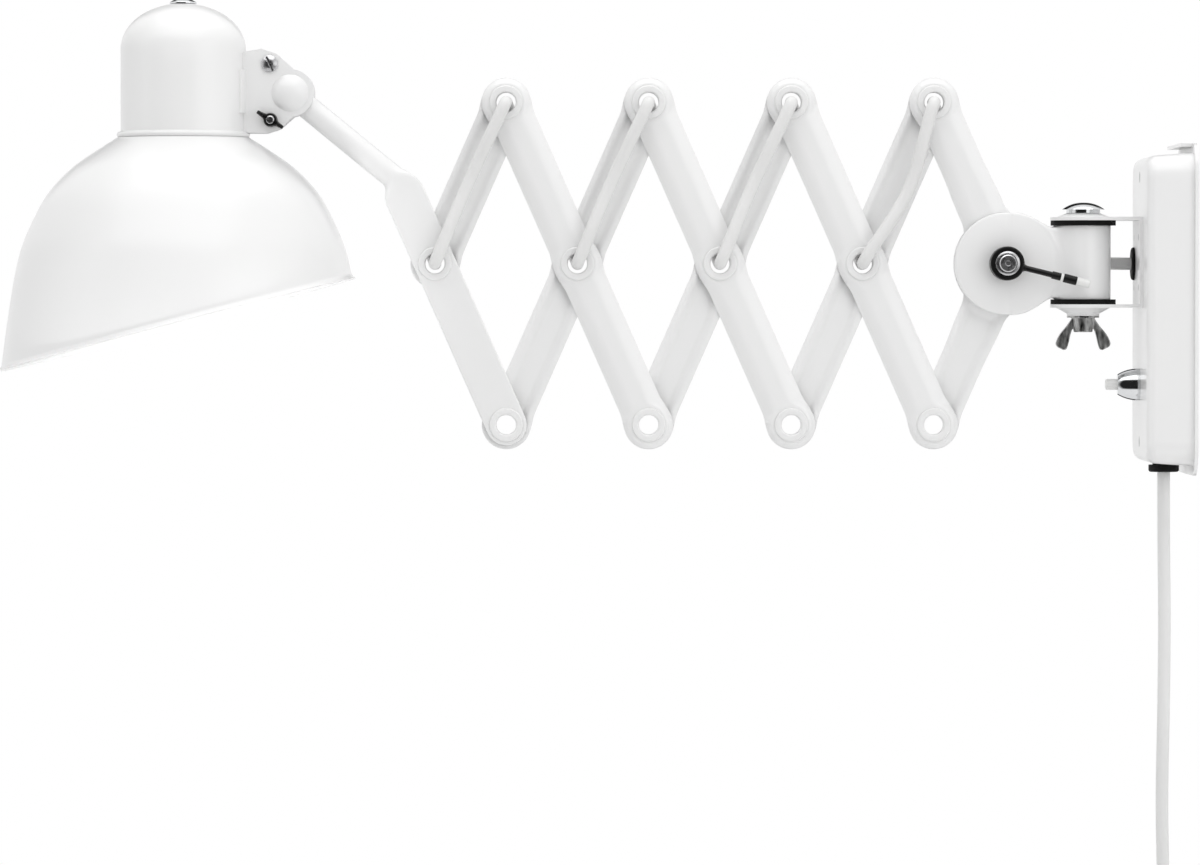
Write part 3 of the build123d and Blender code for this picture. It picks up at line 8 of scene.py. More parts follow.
import bmesh
import bpy
import numpy as np
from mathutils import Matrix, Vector


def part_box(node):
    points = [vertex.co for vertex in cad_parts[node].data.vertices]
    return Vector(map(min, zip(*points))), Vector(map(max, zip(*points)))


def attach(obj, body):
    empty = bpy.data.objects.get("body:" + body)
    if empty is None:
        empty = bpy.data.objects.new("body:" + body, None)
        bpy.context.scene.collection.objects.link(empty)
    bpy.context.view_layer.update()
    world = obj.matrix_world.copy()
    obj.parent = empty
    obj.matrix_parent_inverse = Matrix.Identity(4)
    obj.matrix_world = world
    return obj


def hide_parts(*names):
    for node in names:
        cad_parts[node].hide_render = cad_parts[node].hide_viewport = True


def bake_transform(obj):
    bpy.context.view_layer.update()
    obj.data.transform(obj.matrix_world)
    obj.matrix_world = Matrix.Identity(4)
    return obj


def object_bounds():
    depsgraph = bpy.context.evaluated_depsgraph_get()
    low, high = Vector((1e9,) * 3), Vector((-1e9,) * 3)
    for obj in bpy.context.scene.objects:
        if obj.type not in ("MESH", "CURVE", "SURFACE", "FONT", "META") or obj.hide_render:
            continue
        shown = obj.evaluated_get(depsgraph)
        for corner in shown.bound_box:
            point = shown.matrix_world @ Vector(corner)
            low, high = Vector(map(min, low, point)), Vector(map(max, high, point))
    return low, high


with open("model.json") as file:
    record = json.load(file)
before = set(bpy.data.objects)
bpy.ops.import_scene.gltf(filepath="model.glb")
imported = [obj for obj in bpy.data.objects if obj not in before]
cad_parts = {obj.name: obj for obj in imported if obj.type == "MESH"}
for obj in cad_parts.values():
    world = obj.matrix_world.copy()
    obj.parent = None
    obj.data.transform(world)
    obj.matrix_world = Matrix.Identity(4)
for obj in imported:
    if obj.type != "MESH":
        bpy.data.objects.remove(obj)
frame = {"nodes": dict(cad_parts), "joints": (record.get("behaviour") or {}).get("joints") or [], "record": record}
cad_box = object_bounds()
nodes = frame["nodes"]
record = frame["record"]
joint_places = {j["name"]: Vector(j["pos_m"]) for j in frame["joints"] if "pos_m" in j}
scene = bpy.context.scene
MM = 0.001

# Places read from the frame
hub = joint_places["arm_tilt"]
ball = joint_places["head_tilt"]
first_upper = joint_places["scissor_extend"]
cell_pitch = 2 * (hub.x - first_upper.x)
middles = [hub - Vector((cell_pitch * cell, 0, 0)) for cell in range(5)]
uppers = [None] + [first_upper - Vector((cell_pitch * cell, 0, 0)) for cell in range(4)]
lowers = [None] + [Vector((p.x, 0, 2 * hub.z - p.z)) for p in uppers[1:]]
half_bar = (middles[1] - uppers[1]).length
neck_x = (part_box("cap_housing")[0][0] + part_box("cap_housing")[1][0]) / 2


# Camera at the photograph's viewing angle


def aimed(name, data, place, target):
    """Camera or lamp at a place, turned to its target."""
    item = bpy.data.objects.new(name, data)
    scene.collection.objects.link(item)
    item.location = place
    item.rotation_euler = (Vector(target) - Vector(place)).to_track_quat("-Z", "Y").to_euler()
    return item


eye = (-0.348, -3.5, 0.006)
target = (-0.348, 0.0, -0.0727)
lens = bpy.data.cameras.new("camera")
lens.sensor_width = 36.0
lens.lens = 177.8
scene.camera = aimed("camera", lens, eye, target)


# Material helpers


def set_inputs(node, **values):
    """Inputs set, or linked where the value is another node's output."""
    for name, value in values.items():
        slot = node.inputs[name.replace("_", " ")]
        if isinstance(value, bpy.types.NodeSocket):
            node.id_data.links.new(value, slot)
        else:
            slot.default_value = value
    return node


def new_node(tree, kind, **values):
    return set_inputs(tree.nodes.new("ShaderNode" + kind), **values)


def new_material(name):
    material = bpy.data.materials.new(name)
    material.use_nodes = True
    tree = material.node_tree
    return material, tree, tree.nodes["Principled BSDF"]


def noise(tree, scale, detail=2.0):
    """Noise in object space; scale is in features per metre."""
    place = new_node(tree, "TexCoord").outputs["Object"]
    return new_node(tree, "TexNoise", Vector=place, Scale=scale, Detail=detail).outputs["Fac"]


def ranged(tree, value, low, high, from_low=0.3, from_high=0.7):
    node = new_node(tree, "MapRange", Value=value, From_Min=from_low, From_Max=from_high,
                    To_Min=low, To_Max=high)
    return node.outputs["Result"]


def mixed_colour(tree, factor, first, second):
    mix = tree.nodes.new("ShaderNodeMix")
    mix.data_type = "RGBA"
    mix.inputs["A"].default_value = (*first, 1.0)
    mix.inputs["B"].default_value = (*second, 1.0)
    tree.links.new(factor, mix.inputs["Factor"])
    return mix.outputs["Result"]


def finished(tree, shader, first, second, tone, rough, rough_low, rough_high):
    """Colour that goes from the first to the second with one noise, roughness with another."""
    colour = mixed_colour(tree, ranged(tree, tone, 0, 1), first, second)
    set_inputs(shader, Base_Color=colour, Roughness=ranged(tree, rough, rough_low, rough_high))


def bumped(tree, shader, height, strength, distance):
    bump = new_node(tree, "Bump", Height=height, Strength=strength, Distance=distance)
    set_inputs(shader, Normal=bump.outputs["Normal"])


def painted(name, first, second, rough_low, rough_high,
            coat=0.0, grain=260.0, depth=0.00012, shine=0.5):
    """Sprayed or moulded finish: slight tone change, slight orange peel."""
    material, tree, shader = new_material(name)
    tone, rough = noise(tree, 9.0), noise(tree, 60.0, 4.0)
    finished(tree, shader, first, second, tone, rough, rough_low, rough_high)
    set_inputs(shader, Specular_IOR_Level=shine, Coat_Weight=coat, Coat_Roughness=0.08)
    bumped(tree, shader, noise(tree, grain, 3.0), 0.12, depth)
    return material


def metal(name, first, second, rough_low, rough_high):
    material, tree, shader = new_material(name)
    set_inputs(shader, Metallic=1.0)
    tone, rough = noise(tree, 120.0, 4.0), noise(tree, 400.0, 5.0)
    finished(tree, shader, first, second, tone, rough, rough_low, rough_high)
    bumped(tree, shader, noise(tree, 900.0, 4.0), 0.2, 0.00002)
    return material


def brushed(name, first, second, stretch):
    """Metal with fine lines along one way."""
    material, tree, shader = new_material(name)
    set_inputs(shader, Metallic=1.0)
    place = new_node(tree, "TexCoord").outputs["Object"]
    lines = new_node(tree, "Mapping", Vector=place, Scale=stretch).outputs["Vector"]
    lines = new_node(tree, "TexNoise", Vector=lines, Scale=1.0, Detail=5.0).outputs["Fac"]
    finished(tree, shader, first, second, lines, lines, 0.28, 0.5)
    bumped(tree, shader, lines, 0.25, 0.00003)
    return material


def opal_glass():
    material, tree, shader = new_material("opal_glass")
    tone, rough = noise(tree, 30.0), noise(tree, 200.0)
    finished(tree, shader, grey(0.86, 0.84), grey(0.9, 0.88), tone, rough, 0.10, 0.16)
    set_inputs(shader, Transmission_Weight=0.25)
    return material


def grey(level, blue=None):
    """Neutral tone, or a warm one whose blue is lower."""
    return level, level, level if blue is None else blue


satin_chrome = metal("satin_chrome", grey(0.5, 0.51), grey(0.66, 0.67), 0.22, 0.36)
cable_white = painted("cable_white", grey(0.72, 0.715), grey(0.77, 0.765), 0.40, 0.52, grain=700.0)
slot_materials = {
    "enamel": painted("white_enamel", grey(0.822), grey(0.83, 0.828), 0.275, 0.295,
                      coat=0.15, depth=0.00003),
    "rivet_steel": painted("rivet_white", grey(0.80), grey(0.82, 0.817), 0.28, 0.34,
                           grain=500.0, depth=0.00003),
    "bright_metal": metal("chrome", (0.66, 0.67, 0.68), (0.74, 0.75, 0.76), 0.05, 0.11),
    "plain_steel": brushed("zinc_steel", grey(0.16), grey(0.72, 0.71), (520.0, 520.0, 160.0)),
    "dark_steel": painted("black_steel", grey(0.004), grey(0.009), 0.3, 0.42,
                          grain=900.0, shine=0.3),
    "pale_end": painted("pale_end", grey(0.74, 0.73), grey(0.8, 0.79), 0.35, 0.45, grain=1200.0),
    "black_rubber": painted("black_rubber", grey(0.004), grey(0.009), 0.5, 0.7,
                            grain=1500.0, shine=0.15),
    "cable": cable_white,
    "plug": painted("plug_white", grey(0.74, 0.735), grey(0.78, 0.775), 0.38, 0.5, grain=900.0),
    "pin_metal": brushed("pin_metal", (0.55, 0.54, 0.50), (0.68, 0.67, 0.63),
                         (900.0, 900.0, 120.0)),
    "inner_plastic": painted("inner_plastic", (0.62, 0.60, 0.55), (0.68, 0.66, 0.61), 0.4, 0.55,
                             grain=900.0),
    "bronze": metal("bronze", (0.42, 0.28, 0.13), (0.5, 0.35, 0.18), 0.3, 0.45),
    "lamp_glass": opal_glass(),
}


def dress(obj, material):
    obj.data.materials.clear()
    obj.data.materials.append(material)


node_slots = {s["node"]: s["material_slot"] for s in record["subparts"]}
for node_name, node in nodes.items():
    dress(node, slot_materials[node_slots[node_name]])

dress(nodes["clamp_screws"], satin_chrome)


def smooth(obj, angle):
    """Smooth shading with creases kept above the angle."""
    for polygon in obj.data.polygons:
        polygon.use_smooth = True
    creases = bmesh.new()
    creases.from_mesh(obj.data)
    for edge in creases.edges:
        sharp = len(edge.link_faces) != 2 or edge.calc_face_angle(0) > radians(angle)
        edge.smooth = not sharp
    creases.to_mesh(obj.data)
    creases.free()


# Mains cord and its coil: one line from inside the gland to the plug


def mains_route():
    """Control points in millimetres: from the gland round the flat coil and on to the plug."""
    gland_x = -15.0
    coil_z = -389.0
    gland_bottom = -95.9
    points = [
        (gland_x, 0, gland_bottom + 6),
        (gland_x, 0, -130),
        (gland_x + 0.9, 1.2, -185),
        (gland_x + 0.3, 0.6, -240),
        (gland_x - 0.9, -0.6, -290),
        (gland_x + 0.3, 0.4, -335),
        (gland_x, 0, coil_z + 25),
    ]
    first_radius = 51.0
    pitch = 8.2
    layer = 8.3
    halves_in = 5
    halves_out = 6
    tail = 27.0
    after_coil = 8
    radii = [first_radius - pitch / 2 * k for k in range(halves_in + 1)]
    radii += [radii[-1] + pitch / 2 * (k + 1) for k in range(halves_out)]
    steps = 8
    # The line runs inside its control points, so they stand a little outside the coil
    outset = 1 / (0.75 + 0.25 * cos(pi / steps))
    start = 0.0
    side = -1
    x = gland_x
    for index, radius in enumerate(radii):
        centre = start + side * radius
        climb = layer if index == halves_in else 0.0
        for step in range(steps):
            share = (step + 0.5) / steps
            turn = pi * share
            y = centre - side * radius * outset * cos(turn)
            z = coil_z + side * radius * outset * sin(turn)
            points.append((x - climb * share, y, z))
        start += side * 2 * radius
        x -= climb
        side = -side
    points.append((x, start, coil_z - after_coil))
    points.append((x, start, coil_z - tail - after_coil))
    return points


def tube_curve(name, points, diameter, along=14, around=7):
    """Tube along a quadratic spline within its control polygon; points in metres."""
    data = bpy.data.curves.new(name, "CURVE")
    data.dimensions = "3D"
    data.resolution_u = along
    data.bevel_depth = diameter / 2
    data.bevel_resolution = around
    data.use_fill_caps = True
    spline = data.splines.new("NURBS")
    spline.points.add(len(points) - 1)
    for point, place in zip(spline.points, points):
        point.co = (*place, 1.0)
    spline.order_u = 3
    spline.use_endpoint_u = True
    line = bpy.data.objects.new(name, data)
    scene.collection.objects.link(line)
    return line


mains_points = mains_route()
mains_metres = [tuple(c * MM for c in point) for point in mains_points]
mains_line = tube_curve("mains_cord_line", mains_metres, 0.0075, along=8, around=6)
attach(mains_line, "base")
dress(mains_line, cable_white)
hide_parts("mains_cord", "cord_coil")


# Mesh helpers


def turn_outward(mesh):
    fixed = bmesh.new()
    fixed.from_mesh(mesh)
    bmesh.ops.recalc_face_normals(fixed, faces=fixed.faces)
    fixed.to_mesh(mesh)
    fixed.free()


def add_mesh(name, vertices, faces, body, slot_name, crease):
    mesh = bpy.data.meshes.new(name)
    mesh.from_pydata([tuple(float(c) for c in v) for v in vertices], [], faces)
    mesh.update()
    obj = bpy.data.objects.new(name, mesh)
    scene.collection.objects.link(obj)
    dress(obj, slot_materials[slot_name])
    turn_outward(mesh)
    smooth(obj, crease)
    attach(obj, body)
    return obj


def join(name, parts):
    """Objects made into one, under a new name."""
    bpy.ops.object.select_all(action="DESELECT")
    for part in parts:
        part.select_set(True)
    bpy.context.view_layer.objects.active = parts[0]
    bpy.ops.object.join()
    parts[0].name = name
    return parts[0]


def rounded(points, radii, steps):
    """Closed outline whose corners become arcs, one radius for each point."""
    count = len(points)
    result = []
    for index, (point, radius) in enumerate(zip(points, radii)):
        here = Vector(point)
        if radius <= 0:
            result.append(tuple(here))
            continue
        before = (Vector(points[index - 1]) - here).normalized()
        after = (Vector(points[(index + 1) % count]) - here).normalized()
        turn = before.angle(after)
        reach = radius / tan(turn / 2)
        start = here + before * reach
        end = here + after * reach
        centre = here + (before + after).normalized() * (radius / sin(turn / 2))
        for step in range(steps + 1):
            share = step / steps
            way = ((start - centre) * (1 - share) + (end - centre) * share).normalized()
            result.append(tuple(centre + way * radius))
    return result


def turned_rings(profile, place, axis, steps):
    """Vertices of a turned solid, and their numbers for each (radius, height) of the profile."""
    place = Vector(place)
    axis = Vector(axis).normalized()
    across = axis.orthogonal().normalized()
    third = axis.cross(across)
    vertices = []
    rings = []
    for radius, height in profile:
        if radius < 1e-6:
            rings.append([len(vertices)] * steps)
            vertices.append(place + axis * height * MM)
            continue
        rings.append([len(vertices) + k for k in range(steps)])
        for step in range(steps):
            turn = 2 * pi * step / steps
            way = across * cos(turn) + third * sin(turn)
            vertices.append(place + axis * height * MM + way * radius * MM)
    return vertices, rings


def cutter_mesh(name, radius, reach, place, axis, steps=64):
    """Cylinder with flat ends, for cutting."""
    profile = [(radius, -reach), (radius, reach)]
    vertices, rings = turned_rings(profile, place, axis, steps)
    faces = [rings[0], rings[-1][::-1]]
    first, second = rings
    for step in range(steps):
        after = (step + 1) % steps
        faces.append([first[step], second[step], second[after], first[after]])
    mesh = bpy.data.meshes.new(name)
    mesh.from_pydata([tuple(v) for v in vertices], [], faces)
    turn_outward(mesh)
    obj = bpy.data.objects.new(name, mesh)
    scene.collection.objects.link(obj)
    return obj


def lathe(name, profile, place, axis, body, slot_name, steps=64, closed=True):
    """Turned piece: (radius, height) in millimetres from place along axis."""
    vertices, rings = turned_rings(profile, place, axis, steps)
    pairs = list(zip(rings, rings[1:]))
    if closed:
        pairs.append((rings[-1], rings[0]))
    faces = []
    for first, second in pairs:
        for step in range(steps):
            after = (step + 1) % steps
            corners = [first[step], first[after], second[after], second[step]]
            face = [c for k, c in enumerate(corners) if c not in corners[:k]]
            if len(face) > 2:
                faces.append(face)
    return add_mesh(name, vertices, faces, body, slot_name, crease=35)


def smooth_step(value, low, high):
    share = np.clip((value - low) / (high - low), 0.0, 1.0)
    return share * share * share * (share * (share * 6 - 15) + 10)


def soft_union(first, second, width):
    """Smallest of two distances, blended over a width."""
    share = np.clip(0.5 + 0.5 * (second - first) / width, 0.0, 1.0)
    return second * (1 - share) + first * share - width * share * (1 - share)


def implicit(name, field, low, high, step, body, slot_name, crease):
    """Surface where the field is 0, negative inside; places in millimetres."""
    probe = 0.03
    least_slope = 0.3
    longest_move = 0.4 * step
    low = np.array(low, dtype=float)
    axes = [np.arange(a, b + step, step) for a, b in zip(low, high)]
    value = field(*np.meshgrid(*axes, indexing="ij"))
    inside = value < 0
    nx, ny, nz = value.shape

    def corner(array, i, j, k):
        return array[i : nx - 1 + i, j : ny - 1 + j, k : nz - 1 + k]

    corners = [(i, j, k) for i in (0, 1) for j in (0, 1) for k in (0, 1)]
    count = sum(corner(inside, *c).astype(int) for c in corners)
    active = (count > 0) & (count < 8)
    index = -np.ones(active.shape, dtype=int)
    index[active] = np.arange(int(active.sum()))
    total = np.zeros((int(active.sum()), 3))
    hits = np.zeros(int(active.sum()))
    for first in corners:
        for axis in range(3):
            if first[axis]:
                continue
            second = tuple(c + (k == axis) for k, c in enumerate(first))
            a = corner(value, *first)[active]
            b = corner(value, *second)[active]
            cross = (a < 0) != (b < 0)
            share = np.where(cross, a / np.where(cross, a - b, 1.0), 0.0)
            place = np.array(first, dtype=float)[None, :].repeat(len(a), 0)
            place[:, axis] += share
            total += place * cross[:, None]
            hits += cross
    points = low + (np.argwhere(active) + total / hits[:, None]) * step
    for _ in range(4):
        here = field(*points.T)
        slope = np.empty_like(points)
        for axis in range(3):
            shift = np.zeros(3)
            shift[axis] = probe
            rise = field(*(points + shift).T) - field(*(points - shift).T)
            slope[:, axis] = rise / (2 * probe)
        move = here / np.maximum((slope**2).sum(1), least_slope)
        points -= slope * np.clip(move, -longest_move, longest_move)[:, None]
    faces = []
    for axis in range(3):
        a, b = (axis + 1) % 3, (axis + 2) % 3
        place = np.argwhere(np.diff(inside, axis=axis))
        keep = (place[:, a] > 0) & (place[:, b] > 0)
        keep &= (place[:, a] < index.shape[a]) & (place[:, b] < index.shape[b])
        place = place[keep]
        quad = []
        for da, db in ((0, 0), (1, 0), (1, 1), (0, 1)):
            cell = place.copy()
            cell[:, a] -= da
            cell[:, b] -= db
            quad.append(index[cell[:, 0], cell[:, 1], cell[:, 2]])
        faces += np.stack(quad, 1).tolist()
    return add_mesh(name, points * MM, faces, body, slot_name, crease)


def field_piece(name, node, field, margin, step, body, slot_name, crease=40):
    """Piece from a field, sampled over the CAD piece's box and a margin round it."""
    low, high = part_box(node)
    low = [c / MM - margin for c in low]
    high = [c / MM + margin for c in high]
    piece = implicit(name, field, low, high, step, body, slot_name, crease)
    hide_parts(node)


def soft_cut(first, second, width):
    """Largest of two distances, blended over a width."""
    return -soft_union(-first, -second, width)


# Pressed bars

bar_half_width = 12.7
bar_eye = 13.2
bar_blend = 6.0
bar_sheet = 1.5
bar_depth = 5.0
bar_gap = 0.1
hub_disc = 27.0
rivet_hole = 7.25
pad_radius = 10.4
pad_fall = 4.0
rim_width = 0.6
crown_slope = 6.8
crown_reach = 9.5
edge_reach = 0.45
edge_round = 0.32
hub_widening = 0.9
hub_taper = (34.0, 66.0)
hub_blend = 9.0
bush_hole = 8.1
grid_step = 0.85


def bar_distance(u, v, length, eyes, hub_end):
    """Distance outside the bar's outline, below 0 within it."""
    along = np.clip(u, 0.0, length)
    half_width = bar_half_width
    if hub_end:
        half_width = bar_half_width + hub_widening * (1 - smooth_step(u, *hub_taper))
    outside = np.hypot(u - along, v) - half_width
    for eye in eyes:
        outside = soft_union(outside, np.hypot(u - eye, v) - bar_eye, bar_blend)
    if hub_end:
        outside = soft_union(outside, np.hypot(u, v) - hub_disc, hub_blend)
    return outside


def bar_surfaces(u, v, length, eyes, hub_end):
    """Height of the outer and of the inner surface above the back of the bar."""
    inside = -bar_distance(u, v, length, eyes, hub_end)
    rise = bar_depth - bar_sheet
    crown = np.sin(np.clip(inside / crown_reach, 0.0, 1.0) * pi / 2)
    pads = np.zeros_like(inside)
    for eye in eyes:
        reach = np.hypot(u - eye, v)
        pads = np.maximum(pads, 1 - smooth_step(reach, pad_radius, pad_radius + pad_fall))
    outer = bar_sheet + rise * (1 - (1 - crown) * (1 - pads))
    hollow = smooth_step(inside, rim_width + 0.8, rim_width + crown_slope + 0.6)
    if hub_end:
        reach = np.hypot(u, v)
        disc = 1 - smooth_step(reach, hub_disc - 0.4, hub_disc + 1.6)
        outer = np.maximum(outer, bar_sheet + rise * disc)
        hollow = hollow * smooth_step(reach, hub_disc + 1.5, hub_disc + 9.0)
    edge = np.clip(1 - inside / edge_reach, 0.0, 1.0)
    round_off = edge_round * (1 - np.sqrt(np.clip(1 - edge * edge, 0.0, 1.0)))
    return outer - round_off, rise * hollow


def pressed_bar(name, start, end, side, eyes, body, hub_end=False):
    """Channel bar of one pressed sheet; side -1 faces the camera, 1 the back."""
    start = Vector(start)
    end = Vector(end)
    length = (end - start).length / MM
    probe = 0.02
    way = (end - start).normalized()
    across = Vector((-way.z, 0, way.x))
    reach = hub_disc if hub_end else bar_eye + 3.0
    us = np.arange(-reach - grid_step, length + bar_eye + 4.0, grid_step)
    vs = np.arange(-reach - grid_step, reach + 2 * grid_step, grid_step)
    u, v = np.meshgrid(us, vs, indexing="ij")

    def distance(a, b):
        total = bar_distance(a, b, length, eyes, hub_end)
        for eye in eyes:
            total = np.maximum(total, rivet_hole - np.hypot(a - eye, b))
        if hub_end:
            total = np.maximum(total, bush_hole - np.hypot(a, b))
        return total

    kept = distance(u, v) < -0.25 * grid_step
    cells = kept[:-1, :-1] & kept[1:, :-1] & kept[:-1, 1:] & kept[1:, 1:]
    touching = np.zeros_like(kept, dtype=int)
    rows, columns = cells.shape
    for du in (0, 1):
        for dv in (0, 1):
            touching[du : rows + du, dv : columns + dv] += cells
    used = touching > 0
    border = used & (touching < 4)
    bu, bv = u[border].copy(), v[border].copy()
    for _ in range(6):
        here = distance(bu, bv)
        slope_u = (distance(bu + probe, bv) - distance(bu - probe, bv)) / (2 * probe)
        slope_v = (distance(bu, bv + probe) - distance(bu, bv - probe)) / (2 * probe)
        size_squared = np.maximum(slope_u**2 + slope_v**2, 0.25)
        bu -= here * slope_u / size_squared
        bv -= here * slope_v / size_squared
    u[border], v[border] = bu, bv
    outer, inner = bar_surfaces(u, v, length, eyes, hub_end)
    inner[border] = np.where(distance(u, v)[border] > -1.0, inner[border], 0.0)
    index = -np.ones(kept.shape, dtype=int)
    index[used] = np.arange(used.sum())
    count = int(used.sum())
    origin = np.array(start) / MM
    flat = origin + u[used][:, None] * np.array(way) + v[used][:, None] * np.array(across)
    out_way = np.array((0.0, side, 0.0))
    top = flat + (bar_gap + outer[used])[:, None] * out_way
    back = flat + (bar_gap + inner[used])[:, None] * out_way
    vertices = np.vstack([top, back]) * MM
    faces = []
    edges = {}
    for i, j in zip(*np.nonzero(cells)):
        around = ((i, j), (i + 1, j), (i + 1, j + 1), (i, j + 1))
        ring = [int(index[corner]) for corner in around]
        faces.append(ring)
        faces.append([k + count for k in reversed(ring)])
        for first, second in zip(ring, ring[1:] + ring[:1]):
            if not edges.pop((second, first), False):
                edges[(first, second)] = True
    for first, second in edges:
        faces.append([first, second, second + count, first + count])
    return add_mesh(name, vertices, faces, body, "enamel", crease=50)


def make_bars():
    length = 2 * half_bar / MM
    middle = length / 2
    full = (0, middle, length)
    bars = [
        ("front_bar_1", hub, uppers[1], -1, (middle,), "front_link_1", True),
        ("rear_bar_1", hub, lowers[1], 1, (middle,), "rear_link_1", True),
    ]
    for cell in range(1, 4):
        bar = cell + 1
        bars += [
            (f"front_bar_{bar}", uppers[bar], lowers[cell], -1, full, f"front_link_{bar}", False),
            (f"rear_bar_{bar}", uppers[cell], lowers[bar], 1, full, f"rear_link_{bar}", False),
        ]
    bars.append(("rear_bar_5", uppers[4], middles[4], 1, (0, middle), "rear_link_5", False))
    for node, start, end, side, eyes, body, hub_end in bars:
        piece = pressed_bar(f"{node}_sheet", start, end, side, eyes, body, hub_end)
        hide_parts(node)


make_bars()


# Hollow rivets, rolled over on both sides

rivet_bore = 5.75
rivet_tube = 7.2
rivet_head = 10.0
rivet_thick = 1.3
rivet_clear = 0.05
rivet_edge = 0.3
head_bar_thick = 3.0


def rivet(name, place, front_seat, rear_seat, body):
    profile = [
        (rivet_bore, -front_seat - rivet_thick),
        (rivet_head - rivet_edge, -front_seat - rivet_thick),
        (rivet_head, -front_seat - rivet_clear),
        (rivet_tube, -front_seat - rivet_clear),
        (rivet_tube, rear_seat + rivet_clear),
        (rivet_head, rear_seat + rivet_clear),
        (rivet_head - rivet_edge, rear_seat + rivet_thick),
        (rivet_bore, rear_seat + rivet_thick),
    ]
    radii = [1.25, 0.9, 0.3, 0.0, 0.0, 0.3, 0.9, 1.25]
    return lathe(name, rounded(profile, radii, steps=6), place, (0, 1, 0), body, "rivet_steel")


def make_rivets():
    seat = bar_gap + bar_depth
    groups = [("pivot_rivets_1", [uppers[1]], "front_link_1", seat)]
    for cell in range(1, 4):
        places = [uppers[cell + 1], middles[cell], lowers[cell]]
        groups.append((f"pivot_rivets_{cell + 1}", places, f"front_link_{cell + 1}", seat))
    head_seat = bar_gap + head_bar_thick
    groups.append(("pivot_rivets_5", [middles[4], lowers[4]], "head_link", head_seat))
    for node, places, body, front in groups:
        rings = [
            rivet(f"{node}_ring_{k}", place, front, seat, body) for k, place in enumerate(places)
        ]
        group = join(f"{node}_rolled", rings) if len(rings) > 1 else rings[0]
        group.name = f"{node}_rolled"
        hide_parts(node)


make_rivets()


# Arm cable: its stretches lie on the bars and pass through the rivets


cable_thick = 7.4 * MM
cable_lift = 10.6
cable_dip = 3.6
# The end of each stretch: how far before the rivet's axis, and how high over the bar
into_rivet = (
    (7.5, cable_lift + 0.5), (0.6, cable_lift - 0.2), (0.0, cable_lift * 0.55), (0.0, 0.0),
)


def smooth_cable(node, points, body):
    line = tube_curve(f"{node}_line", points, cable_thick)
    dress(line, cable_white)
    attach(line, body)
    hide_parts(node)


def bent_cable(name, points):
    """Cable that runs from one body to the next through the points, as a plain mesh."""
    line = tube_curve(f"{name}_curve", points, cable_thick)
    bpy.context.view_layer.update()
    graph = bpy.context.evaluated_depsgraph_get()
    mesh = bpy.data.meshes.new_from_object(line.evaluated_get(graph))
    bpy.data.objects.remove(line)
    tube = bpy.data.objects.new(name, mesh)
    scene.collection.objects.link(tube)
    dress(tube, cable_white)
    smooth(tube, 50)
    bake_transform(tube)
    return tube


def bar_stretch(node, start, end, side, bow, body):
    """Cable from the middle of one rivet to the middle of the next, bowed along the bar."""
    way = (end - start).normalized()
    aside = Vector((way.z, 0, -way.x))
    span = (end - start).length / MM
    stations = [(before, lift, 0.0) for before, lift in into_rivet[:0:-1]]
    stations += [
        (7.5, cable_lift + 0.5, bow * 0.06),
        (span * 0.24, cable_lift - 0.4, bow * 0.5),
        (span * 0.42, cable_lift - cable_dip, bow * 0.98),
        (span * 0.58, cable_lift - cable_dip, bow * 1.02),
        (span * 0.76, cable_lift - 0.4, bow * 0.6),
        (span - 7.5, cable_lift + 0.5, bow * 0.08),
    ]
    stations += [(span - before, lift, 0.0) for before, lift in into_rivet[1:]]
    points = [
        start + (way * along + aside * shift + Vector((0, side * lift, 0))) * MM
        for along, lift, shift in stations
    ]
    smooth_cable(node, points, body)


def make_arm_cable():
    for cell in range(1, 5):
        bow = -7.0 if cell == 1 else 1.0
        node = f"arm_cable_front_{cell}"
        bar_stretch(node, uppers[cell], middles[cell], -1, bow, f"rear_link_{cell + 1}")
    for cell in range(1, 4):
        node = f"arm_cable_rear_{cell + 1}"
        bar_stretch(node, middles[cell], uppers[cell + 1], 1, 0.6, f"front_link_{cell + 1}")


make_arm_cable()


